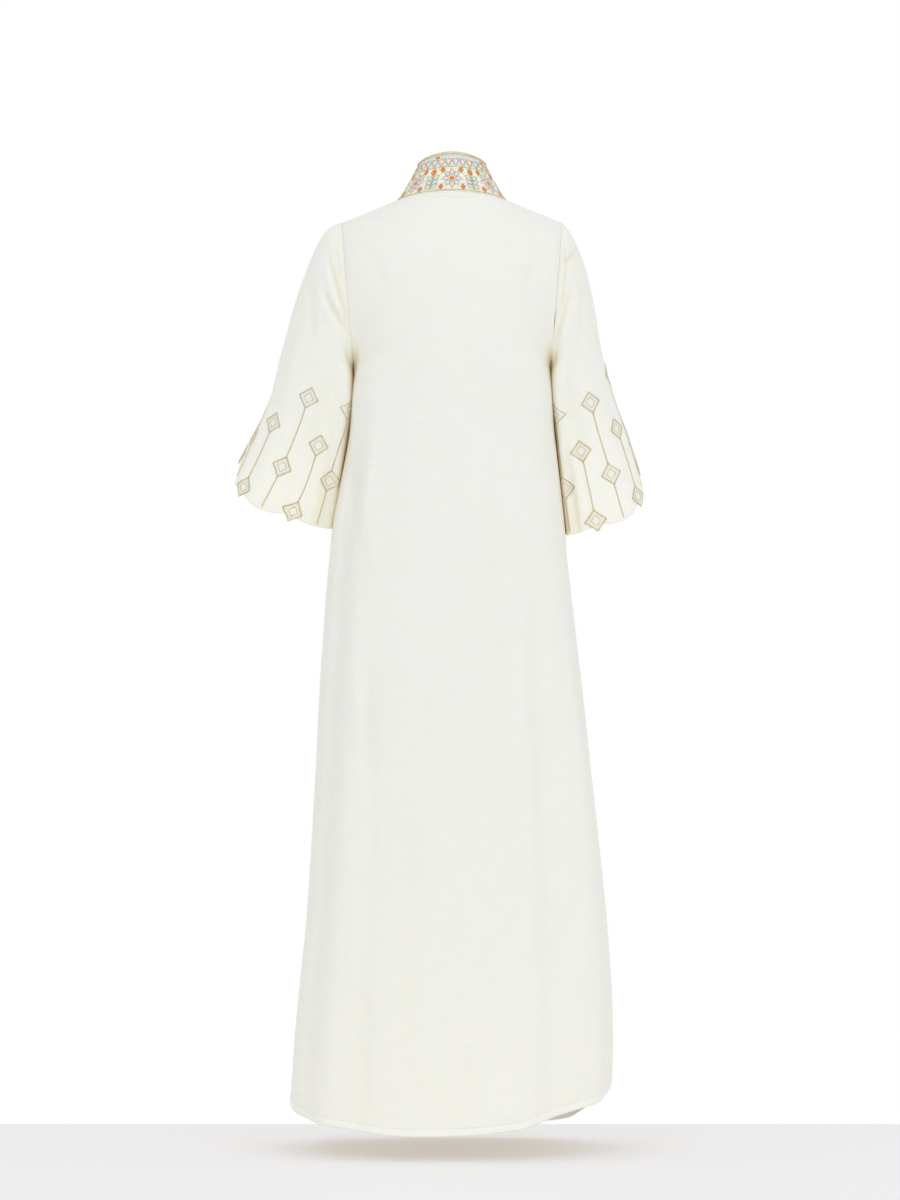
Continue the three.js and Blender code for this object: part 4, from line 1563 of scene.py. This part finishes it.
            # The seam allowance above the armhole seam lies under the gown's own edge.
            under = self.lap + ARMHOLE_SEAMS[self.side].depth(point.z)
            lift -= under * fading(max(from_seam, 0.0), self.seam_width)
            lift -= self.allowance_drop * smooth(-from_seam / self.allowance_over)
            lift -= self.underarm_dip * fading(cloth.across[j][i], self.underarm_width)
            return lift - self.cuff_dip * (fading(to_cuff - self.cuff_line, self.cuff_width) + math.exp(-to_cuff))

        return height

    def bead(self) -> Beading:
        """Returns the beads of every lozenge and stem of the sleeve."""
        beads = Beading()
        bead, reach = self.stem_bead, self.lozenge.half_length
        lift = self.thickness / 2 + 0.2 * bead
        size = (1.25 * bead, bead, 0.8 * bead)
        for k in range(self.form.scallops):
            for scallop, middles in ((float(k), self.cusp_lozenges), (k + 0.5, self.middle_lozenges)):
                for above in middles:
                    self.lozenge.set_on(self.placed(scallop, above), beads, lift)
                # A stem runs from one lozenge to the next, and between two cusps from the cuff's edge too.
                ends = [level for above in middles for level in (above - reach, above + reach)]
                ends = [self.stem_foot, *ends] if scallop % 1 else ends[1:]
                for low, high in zip(ends[::2], ends[1::2]):
                    levels = spread(low, high, max(round((high - low) / self.stem_step), 2))
                    line = [surface_line(self.placed(scallop, level), [(0.0, 0.0)])[0] for level in levels]
                    beads.gilt.follow(line, size[0] * STRUNG, size, lift)
        return beads

    def build(self, finishes: Finishes) -> None:
        """Makes the sleeve and its beading.

        Args:
            finishes: The gown's materials.
        """
        form = self.form
        columns = spread(-0.5, form.scallops - 0.5, self.columns_a_scallop * form.scallops)
        cloth = ClothGrid(columns, self.rows, lambda scallop, share: form.point(*form.down_cloth(scallop, share)))
        bmesh.ops.weld_verts(cloth.bm, targetmap={row[-1]: row[0] for row in cloth.grid})
        for row in cloth.grid:
            row.pop()
        bmesh.ops.recalc_face_normals(cloth.bm, faces=cloth.bm.faces[:])
        # The grid's middle is the underarm, which faces the body.
        cloth.face(Vector((-self.side.value, 0, 0)))
        cloth.relieve(self.relief(cloth))

        def warmth(j: int, i: int) -> float:
            """Returns a vertex's share of painted warm shade and light: shade beside the body, at the seam and in the
            troughs, and light near the cuff.
            """
            vert = cloth.grid[j][i]
            from_seam = cloth.down[j][i] - cloth.down[self.seam_row][i]
            beside_body = ramp(-vert.normal.x * self.side.value, *self.body_shade_turned)
            beside_body *= self.body_painted_shade * ramp(vert.co.z, *UNDERARM.painted_shade_heights)
            at_cuff = self.edge_painted_light * ramp(cloth.to_bottom(j, i), self.cuff_light_over, 0)
            at_seam = self.edge_painted_light * ramp(from_seam, self.armhole_shade_over, 0)
            return min(max(beside_body, at_cuff, at_seam) + painted_trough_shade(self.creases, vert.co, vert.normal), 1.0)

        cloth.mark(warmth)
        sleeve = make_piece(cloth.bm, f"sleeve_cloth_{self.name}", [finishes.linen])
        thicken(sleeve, self.thickness)
        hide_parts(f"sleeve_{self.name}")
        names = f"sleeve_gilt_beading_{self.name}", f"sleeve_pearl_beading_{self.name}"
        beading = self.bead().pieces(names, finishes)
        log.info("%s: %d columns, %d rows", sleeve.name, len(columns), len(self.rows))


# ---------------- the collar


def petal(
    length: float, width: float, start: float, turn: float, count: int = 12, level: float = 0.0
) -> list[Point]:
    """Returns the outline of a pointed oval.

    Args:
        length: From its foot to its tip.
        width: Its width at the middle.
        start: How far its foot is from the point that it is turned about.
        turn: Degrees from upright that it points to, clockwise.
        count: How many corners the outline has.
        level: The height of the point that it is turned about.
    """
    half, fullness = count // 2, 0.85
    side = [(width / 2 * math.sin(math.pi * k / half) ** fullness, start + length * k / half) for k in range(half + 1)]
    loop = [*side, *((-x, y) for x, y in reversed(side[1:-1]))]
    sine, cosine = math.sin(math.radians(turn)), math.cos(math.radians(turn))
    return [(x * cosine + y * sine, level + y * cosine - x * sine) for x, y in loop]


def disc(radius: float, count: int = 12) -> list[Point]:
    """Returns the outline of a round patch."""
    turns = [2 * math.pi * k / count for k in range(count)]
    return [(radius * math.sin(t), radius * math.cos(t)) for t in turns]


class SatinWork:
    """Patches of satin stitch, each a low pad with its strands' direction in its own UV map."""

    SINK = 0.3  # how far each pad runs down into the ground
    HEIGHT = 0.75  # how far it stands up
    SHOULDER = 0.6  # the share of that in its upright side, below its domed top
    ROUNDING = 0.55  # how far in from its edge the top is at its full height

    def __init__(self, lift: float) -> None:
        """Starts empty, for pads that stand on ground of that height."""
        self.bm = bmesh.new()
        self.bm.loops.layers.uv.new("Stitches")
        self.lift = lift
        self.count = 0

    def pad(self, place: Place, outline: Sequence[Point], thread: Thread, slant: float = 90.0) -> None:
        """Works one patch.

        Args:
            place: What sets flat millimetres on the ground.
            outline: The patch's flat outline.
            thread: Its colour.
            slant: Degrees from upright that its strands run at.
        """
        bm = bmesh.new()
        layer = bm.loops.layers.uv.new("Stitches")
        base = bmesh.ops.create_circle(bm, cap_ends=True, segments=len(outline), radius=1.0)["verts"]
        for vert, (x, y) in zip(base, outline):
            vert.co = (x, y, -self.SINK)
        raised = bmesh.ops.extrude_face_region(bm, geom=bm.faces[:])["geom"]
        top = [part for part in raised if isinstance(part, bmesh.types.BMFace)]
        corners = [part for part in raised if isinstance(part, bmesh.types.BMVert)]
        bmesh.ops.translate(bm, vec=(0, 0, self.SINK + self.HEIGHT * self.SHOULDER), verts=corners)
        bmesh.ops.inset_individual(bm, faces=top, thickness=self.ROUNDING, depth=self.HEIGHT * (1 - self.SHOULDER))
        bmesh.ops.recalc_face_normals(bm, faces=bm.faces[:])
        sine, cosine = math.sin(math.radians(slant)), math.cos(math.radians(slant))
        for face in bm.faces:
            face.material_index = thread.value
            for loop in face.loops:
                x, y, _ = loop.vert.co
                loop[layer].uv = ((x * cosine - y * sine) * MM, (x * sine + y * cosine) * MM)
        for vert in bm.verts:
            vert.co = place(vert.co.x, vert.co.y, vert.co.z + self.lift)
        one = bpy.data.meshes.new("Pad")
        bm.to_mesh(one)
        bm.free()
        self.bm.from_mesh(one)
        bpy.data.meshes.remove(one)
        self.count += 1


@dataclass(frozen=True)
class Collar:
    """The tall standing collar, worked all over in satin stitch, gilt cord and beads."""

    cut: Pair
    cut_area: float
    form: CollarForm = COLLAR
    thickness: float = 2.0
    columns: int = 220
    rows: int = 26
    motif_pitch: float = 31.0
    motif_margin: float = 11.0
    frieze_level: float = 20.6
    frieze_foot: float = 4.4
    frieze_top: float = 37.4
    corner_levels: tuple[float, ...] = (34.6, 7.2)  # of the small lozenges above and below the motifs
    rosette_room: Pair = (16.2, 16.2)  # half width and height kept clear of seed beads
    sprig_room: Pair = (11.5, 18.5)
    corner_room: Pair = (5.8, 6.8)
    seed: float = 1.6
    seed_pitch: float = 2.9
    zigzag_level: float = 45.5
    zigzag_pitch: float = 11.0
    zigzag_margin: float = 3.0
    block_level: float = 55.2
    block_pitch: float = 7.4
    block_cycle: tuple[Thread, ...] = (
        Thread.BLUE, Thread.BLUE, Thread.LILAC, Thread.BLUE, Thread.BLUE, Thread.ORANGE
    )
    cord_levels: tuple[float, ...] = (1.8, 39.2, 51.6)
    cord_lift: float = 0.35
    cord_pitch: float = 1.2
    cord_turn: Triple = (1.9, 1.15, 1.1)  # one turn of its twist
    cord_slant: float = 35.0
    rim_level: float = 59.6
    rim_lift: float = 0.9
    rim_bead: float = 2.6
    # each row on the top edge: height above it, distance off its middle, pitch and bead
    edge_rows: tuple[tuple[float, float, float, Triple], ...] = (
        (0.9, 0.0, 3.1, (3.0, 3.0, 3.0)),
        (-1.6, -1.6, 2.7, (2.6, 2.6, 2.2)),
    )
    neck_dip: float = 0.8  # of the seam at its foot
    neck_width: float = 2.2
    warmth: float = 0.1
    margin: float = 4.0  # how far the work stays from the front edges

    def line(self, level: float, lift: float, margin: float = 0.0) -> Line:
        """Returns the points and normals of a line round the collar.

        Args:
            level: Height above the neck seam at the nape.
            lift: How far the line stands off the collar's middle surface.
            margin: How far its ends stay from the front edges.
        """
        found = []
        for turn in self.form.spaced(level, 2.5, margin):
            point, normal, _, _ = self.form.frame(turn, level / self.form.back_height)
            found.append((point + normal * lift, normal))
        return found

    def rosette(self, work: SatinWork, beads: Beading, place: Place) -> None:
        """Works an eight-petalled rosette, each petal outlined in gilt beads."""
        for k in range(8):
            work.pad(place, petal(8.0, 5.4, 6.0, 45 * k), (Thread.LILAC, Thread.BLUE)[k % 2], slant=45 * k + 90)
            self.trace(beads.gilt, place, closed(petal(10.2, 7.2, 4.9, 45 * k, count=20)), 1.1)
        work.pad(place, disc(3.4), Thread.ORANGE)
        self.trace(beads.pearl, place, closed(disc(4.3, count=18)), 1.4)

    def sprig(self, work: SatinWork, beads: Beading, place: Place) -> None:
        """Works an upright sprig of paired leaves with a bud at its tip."""
        self.trace(beads.gilt, place, [(0, y) for y in (-17, -12, -7, -2, 3, 6)], 1.5)
        for level, thread in ((-15, Thread.MINT), (-8, Thread.BLUE), (-1, Thread.MINT)):
            for turn in (-56, 56):
                work.pad(place, petal(9.8, 4.8, 1.2, turn, level=level), thread, slant=turn + 50)
                self.trace(beads.gilt, place, closed(petal(11.8, 6.6, 0.2, turn, count=20, level=level)), 1.05)
        bud = 6.4
        work.pad(place, petal(9.6, 6.4, 0, 0, level=bud), Thread.ORANGE)
        self.trace(beads.gilt, place, closed(petal(11.8, 8.4, -0.9, 0, count=24, level=bud)), 1.4)

    def corner(self, work: SatinWork, beads: Beading, place: Place) -> None:
        """Works a small lozenge of satin with a gilt outline, to go between motifs."""
        work.pad(place, diamond(3.3, 4.3), Thread.ORANGE, slant=0)
        self.trace(beads.gilt, place, closed(diamond(4.4, 5.6)), 1.1)

    def scatter(self, beads: Beading, motifs: Sequence[tuple[Vector, float, float]]) -> None:
        """Fills the ground between the motifs with rows of seed beads, a gilt one after every two pearls.

        Args:
            beads: Where the beads go.
            motifs: Each motif's middle, half width and half height, which the beads keep clear of.
        """
        form, size = self.form, self.seed
        for row in range(int((self.frieze_top - self.frieze_foot) / self.seed_pitch) + 1):
            level = self.frieze_foot + row * self.seed_pitch
            for k, turn in enumerate(form.spaced(level, self.seed_pitch, self.margin / 2 + row % 2)):
                point, normal, along, _ = form.frame(turn, level / form.back_height)
                clear = all(
                    ((point - middle).xy.length / wide) ** 2 + ((point - middle).z / high) ** 2 > 1
                    for middle, wide, high in motifs
                )
                if clear:
                    kind = beads.gilt if (2 * row + k) % 3 == 0 else beads.pearl
                    matrix = upright(point + normal * (self.ground + 0.4), normal, along, (size, size, size * 0.8))
                    kind.set_at(matrix)

    @property
    def ground(self) -> float:
        """Height of the collar's outer face above its middle surface."""
        return self.thickness / 2

    def trace(self, beads: Repeated, place: Place, flat: Sequence[Point], size: float) -> None:
        """Sets a line of small beads along a flat line drawn on the collar.

        Args:
            beads: Where the beads go.
            place: What sets flat millimetres on the collar.
            flat: The line's flat points.
            size: The beads' diameter.
        """
        beads.follow(surface_line(place, flat), size * STRUNG, (size, size, size * 0.9), self.ground + size * 0.3)

    def embroider(self, work: SatinWork, beads: Beading) -> None:
        """Works the whole collar, from the neck seam up.

        Args:
            work: Where the satin pads go.
            beads: Where the beads and cords go.
        """
        for level in self.cord_levels:
            line = self.line(level, self.ground + self.cord_lift)
            beads.gilt.follow(line, self.cord_pitch, self.cord_turn, 0.0, slant=self.cord_slant)
        self.work_frieze(work, beads)
        self.work_zigzag(work, beads)
        blocks = self.form.spaced(self.block_level, self.block_pitch, self.margin)
        for k, turn in enumerate(blocks):
            thread = self.block_cycle[abs(k - len(blocks) // 2 + 2) % len(self.block_cycle)]
            place = self.form.placed(turn, self.block_level)
            work.pad(place, [(-3.2, -2), (3.2, -2), (3.2, 2), (-3.2, 2)], thread, slant=0)
        bead = self.rim_bead
        line = self.line(self.rim_level, self.ground + self.rim_lift)
        beads.gilt.follow(line, bead * SEWN, (bead, bead, bead * 0.9), 0.0)

    def work_frieze(self, work: SatinWork, beads: Beading) -> None:
        """Works the rosettes and sprigs in turn, the small lozenges and the ground of seeds."""
        form = self.form
        motifs = form.spaced(self.frieze_level, self.motif_pitch, self.margin + self.motif_margin)
        kept_clear = []
        for k, turn in enumerate(motifs):
            place = form.placed(turn, self.frieze_level)
            is_sprig = (k - len(motifs) // 2) % 2 == 1
            (self.sprig if is_sprig else self.rosette)(work, beads, place)
            kept_clear.append((place(0, 0, 0), *(self.sprig_room if is_sprig else self.rosette_room)))
        for before, after in zip(motifs, motifs[1:]):
            for level in self.corner_levels:
                place = form.placed((before + after) / 2, level)
                self.corner(work, beads, place)
                kept_clear.append((place(0, 0, 0), *self.corner_room))
        self.scatter(beads, kept_clear)

    def work_zigzag(self, work: SatinWork, beads: Beading) -> None:
        """Works a beaded zigzag with a triangle of satin in each of its bays."""
        form, half, tip, foot = self.form, 3.9, 3.4, 4.3
        peaks = form.spaced(self.zigzag_level, self.zigzag_pitch, self.margin + self.zigzag_margin)
        for k, turn in enumerate(peaks):
            place = form.placed(turn, self.zigzag_level)
            work.pad(place, [(-half, -foot), (0, tip), (half, -foot)], (Thread.BLUE, Thread.MINT)[k % 3 == 1])
            self.trace(beads.gilt, place, [(-self.zigzag_pitch / 2, -5), (0, 5), (self.zigzag_pitch / 2, -5)], 1.4)
        for before, after in zip(peaks, peaks[1:]):
            place = form.placed((before + after) / 2, self.zigzag_level)
            work.pad(place, [(-half, foot), (half, foot), (0, -tip)], Thread.LILAC)

    def build(self, finishes: Finishes) -> None:
        """Makes the collar, its embroidery and its rim.

        Args:
            finishes: The gown's materials.
        """
        form = self.form
        turns = spread(-form.front_end, form.front_end, self.columns)
        cloth = ClothGrid(turns, spread(1, 0, self.rows), form.point)
        cloth.face(Vector((0, 1, 0)))
        cloth.relieve(lambda point, normal, j, i: -self.neck_dip * fading(cloth.to_bottom(j, i), self.neck_width))
        cloth.mark(lambda j, i: self.warmth)
        collar = make_piece(cloth.bm, "collar_cloth", [finishes.linen])
        thicken(collar, self.thickness)
        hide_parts("collar")
        work, beads, rim = SatinWork(self.ground - 0.1), Beading(), Repeated.beads()
        self.embroider(work, beads)
        satin = make_piece(work.bm, "collar_satin_work", finishes.threads)
        beading = beads.pieces(("collar_gilt_work", "collar_pearl_beading"), finishes)
        for height, off, pitch, size in self.edge_rows:
            rim.follow(self.line(form.back_height + height, off), pitch, size, 0.0)
        edge = rim.piece("collar_rim_beads", finishes.gilt, "beaded_edge")
        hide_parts("collar_edge")
        log.info("%s: %d satin pads", collar.name, work.count)


# ---------------- the studio


@dataclass(frozen=True)
class Studio:
    """A pale floor, a white surround, two broad soft lights and the camera."""

    floor_level: float = -1.495
    floor_edge: float = -0.395  # the floor's far edge, past which the white surround shows
    floor_reach: float = 6.0
    floor_depth: float = 0.02
    surround: float = 0.82
    # each soft light's power, width and place
    lamps: tuple[tuple[float, float, Triple], ...] = ((38.0, 1.8, (-2.6, 4.6, 0.6)), (44.0, 1.3, (2.2, 5.2, 2.6)))
    lit: Triple = (0.0, 0.0, -0.7)  # what the lights look at
    eye: Triple = (0.0032, 6.5, -0.805)
    aim: Triple = (0.0032, 0.0, -0.63)
    height_seen: float = 1.896  # at the gown, in metres
    film_height: float = 36.0

    @staticmethod
    def pointing(place: Vector, aim: Vector) -> Triple:
        """Returns the turn of a camera or light at a place so that it looks at its aim."""
        return (aim - place).to_track_quat("-Z", "Y").to_euler()

    def lay_floor(self) -> None:
        """Lays the floor, whose far edge is level with the surround."""
        bm = bmesh.new()
        bmesh.ops.create_cube(bm, size=1.0)
        near = self.floor_reach
        bmesh.ops.scale(bm, vec=(2 * near, near - self.floor_edge, self.floor_depth), verts=bm.verts)
        middle = (near + self.floor_edge) / 2
        bmesh.ops.translate(bm, vec=(0, middle, self.floor_level - self.floor_depth / 2), verts=bm.verts)
        mesh = bpy.data.meshes.new("floor")
        bm.to_mesh(mesh)
        bm.free()
        floor = bpy.data.objects.new("floor", mesh)
        mesh.materials.append(PaintedFloor().material())
        bpy.context.scene.collection.objects.link(floor)

    def light(self) -> None:
        """Lights the gown evenly all round, with a broad soft light to either side of the camera."""
        world = bpy.data.worlds.new("Studio surround")
        world.use_nodes = True
        tree = world.node_tree
        tree.nodes.clear()
        white = (1.0, 1.0, 1.0, 1.0)
        lit = add_node(tree, "ShaderNodeBackground", {"Color": white, "Strength": self.surround})
        seen = add_node(tree, "ShaderNodeBackground", {"Color": white, "Strength": 1.0})
        ray = add_node(tree, "ShaderNodeLightPath")
        both = add_node(
            tree, "ShaderNodeMixShader", {0: ray.outputs["Is Camera Ray"], 1: lit.outputs[0], 2: seen.outputs[0]}
        )
        add_node(tree, "ShaderNodeOutputWorld", {"Surface": both.outputs[0]})
        bpy.context.scene.world = world
        for power, width, place in self.lamps:
            lamp = bpy.data.lights.new("Soft light", "AREA")
            lamp.energy, lamp.size = power, width
            soft = bpy.data.objects.new("Soft light", lamp)
            soft.location = place
            soft.rotation_euler = self.pointing(Vector(place), Vector(self.lit))
            bpy.context.scene.collection.objects.link(soft)

    def set_camera(self) -> None:
        """Sets the camera behind the gown, at mid height and a long way off."""
        eye, aim = Vector(self.eye), Vector(self.aim)
        lens = bpy.data.cameras.new("Camera")
        lens.sensor_fit = "VERTICAL"
        lens.sensor_height = self.film_height
        lens.lens = self.film_height * (aim - eye).length / self.height_seen
        lens.clip_end = 60.0
        camera = bpy.data.objects.new("Camera", lens)
        camera.location = eye
        camera.rotation_euler = self.pointing(eye, aim)
        bpy.context.scene.collection.objects.link(camera)
        bpy.context.scene.camera = camera
        bpy.context.scene.view_settings.view_transform = "Standard"


# ---------------- the gown

BACK_CREASES = (
    Crease(((161, -345), (149, -472), (136, -566), (131, -700)), 22, -3.2),
    Crease(((149, -732), (145, -882)), 15, 2.4),
    Crease(((130, -670), (128, -820), (127, -960)), 17, -2.6),
    Crease(((-123, -780), (-136, -1025), (-147, -1330)), 42, -2.0),
    Crease(((-202, -1060), (-206, -1160), (-211, -1275)), 19, 3.0),
    Crease(((-60, -420), (-66, -700), (-72, -980)), 30, -1.6),
    Crease(((60, -900), (68, -1150), (74, -1400)), 34, -2.2),
    Crease(((-20, -1000), (-26, -1250), (-30, -1440)), 30, 1.8),
    Crease(((134, -1200), (137, -1330), (134, -1452)), 24, -2.4),
    Crease(((-150, -1375), (-178, -1412)), 6, 0.9),
    Crease(((-172, -1362), (-203, -1398)), 6, 0.8),
    Crease(((-128, -1392), (-150, -1424)), 6, 0.7),
    Crease(((150, -60), (120, -100), (96, -170)), 16, -1.4),
    Crease(((-152, -62), (-124, -104), (-100, -180)), 16, -1.4),
)

FRONT_CREASES = tuple(
    Crease(path, half_width, depth, Facing.FRONT)
    for path, half_width, depth in (
        (((150, -60), (122, -110), (104, -190)), 16, -1.6),
        (((-150, -60), (-120, -112), (-100, -195)), 16, -1.5),
        (((140, -300), (112, -350), (92, -440)), 18, -2.2),
        (((-142, -300), (-116, -356), (-98, -450)), 18, -2.2),
        (((96, -560), (104, -800), (112, -1100)), 34, -3.6),
        (((-88, -520), (-96, -800), (-104, -1150)), 36, -3.8),
        (((20, -640), (24, -900), (30, -1250)), 34, 2.2),
        (((-170, -800), (-178, -1000), (-186, -1280)), 24, 2.6),
        (((172, -760), (180, -1000), (186, -1260)), 26, -2.8),
    )
)

SLEEVE_CREASES = {
    Side.LEFT: (
        Crease(((197, -64), (189, -108), (173, -162), (155, -226)), 7, -3.8, fade=0.4),
        Crease(((204, -98), (186, -158), (164, -210)), 8, 2.2),
        Crease(((207, -134), (186, -176), (158, -216)), 7, -3.2),
        Crease(((214, -150), (190, -196), (164, -234)), 9, 1.9),
        Crease(((184, -54), (179, -98), (168, -146)), 7, -1.9),
        Crease(((220, -98), (221, -170), (217, -245)), 13, -2.4),
        Crease(((186, -250), (206, -330), (232, -420)), 20, -2.2),
        Crease(((232, -190), (250, -270), (270, -350)), 18, 1.8),
        Crease(((195, -110), (176, -170), (160, -230)), 9, -2.2, Facing.FRONT),
        Crease(((218, -110), (222, -190), (230, -300)), 16, -2.4, Facing.FRONT),
        Crease(((196, -280), (214, -370), (232, -450)), 18, 2.0, Facing.FRONT),
    ),
    Side.RIGHT: (
        Crease(((-173, -62), (-178, -107), (-175, -149), (-166, -196)), 6, -2.6),
        Crease(((-176, -104), (-184, -94), (-194, -80)), 6, -2.4),
        Crease(((-190, -128), (-176, -182), (-158, -240)), 8, -2.8),
        Crease(((-182, -120), (-172, -160), (-160, -214)), 8, 1.7),
        Crease(((-205, -110), (-204, -190), (-196, -270)), 13, -2.0),
        Crease(((-178, -270), (-194, -350), (-214, -440)), 18, -2.2),
        Crease(((-222, -200), (-234, -280), (-252, -370)), 16, 1.8),
        Crease(((-190, -112), (-174, -170), (-158, -230)), 9, -2.2, Facing.FRONT),
        Crease(((-206, -120), (-206, -200), (-204, -310)), 15, -2.4, Facing.FRONT),
        Crease(((-186, -290), (-200, -380), (-216, -460)), 17, 1.8, Facing.FRONT),
    ),
}


def main() -> None:
    """Builds the gown piece by piece, then the studio round it."""
    logging.basicConfig(level=logging.INFO, format="%(message)s", stream=sys.stdout)
    threads = [THREADS[thread].material() for thread in Thread]
    finishes = Finishes(Linen().material(), threads, GiltMetal().material(), PearlGlass().material())
    for made in (
        Collar(cut=(0.525, 0.072), cut_area=0.0274),
        Panel(Facing.BACK, cut=(0.72, 1.494), cut_area=0.795, creases=BACK_CREASES),
        Panel(Facing.FRONT, cut=(0.745, 1.498), cut_area=0.806, creases=FRONT_CREASES),
        Sleeve(Side.LEFT, (0.593, 0.462), 0.155, SLEEVE_CREASES[Side.LEFT], stem_lean=42.0),
        Sleeve(Side.RIGHT, (0.578, 0.458), 0.140, SLEEVE_CREASES[Side.RIGHT], stem_lean=22.0, outer_lean=30.0),
    ):
        made.build(finishes)
    studio = Studio()
    studio.lay_floor()
    studio.light()
    studio.set_camera()


if __name__ == "__main__":
    main()
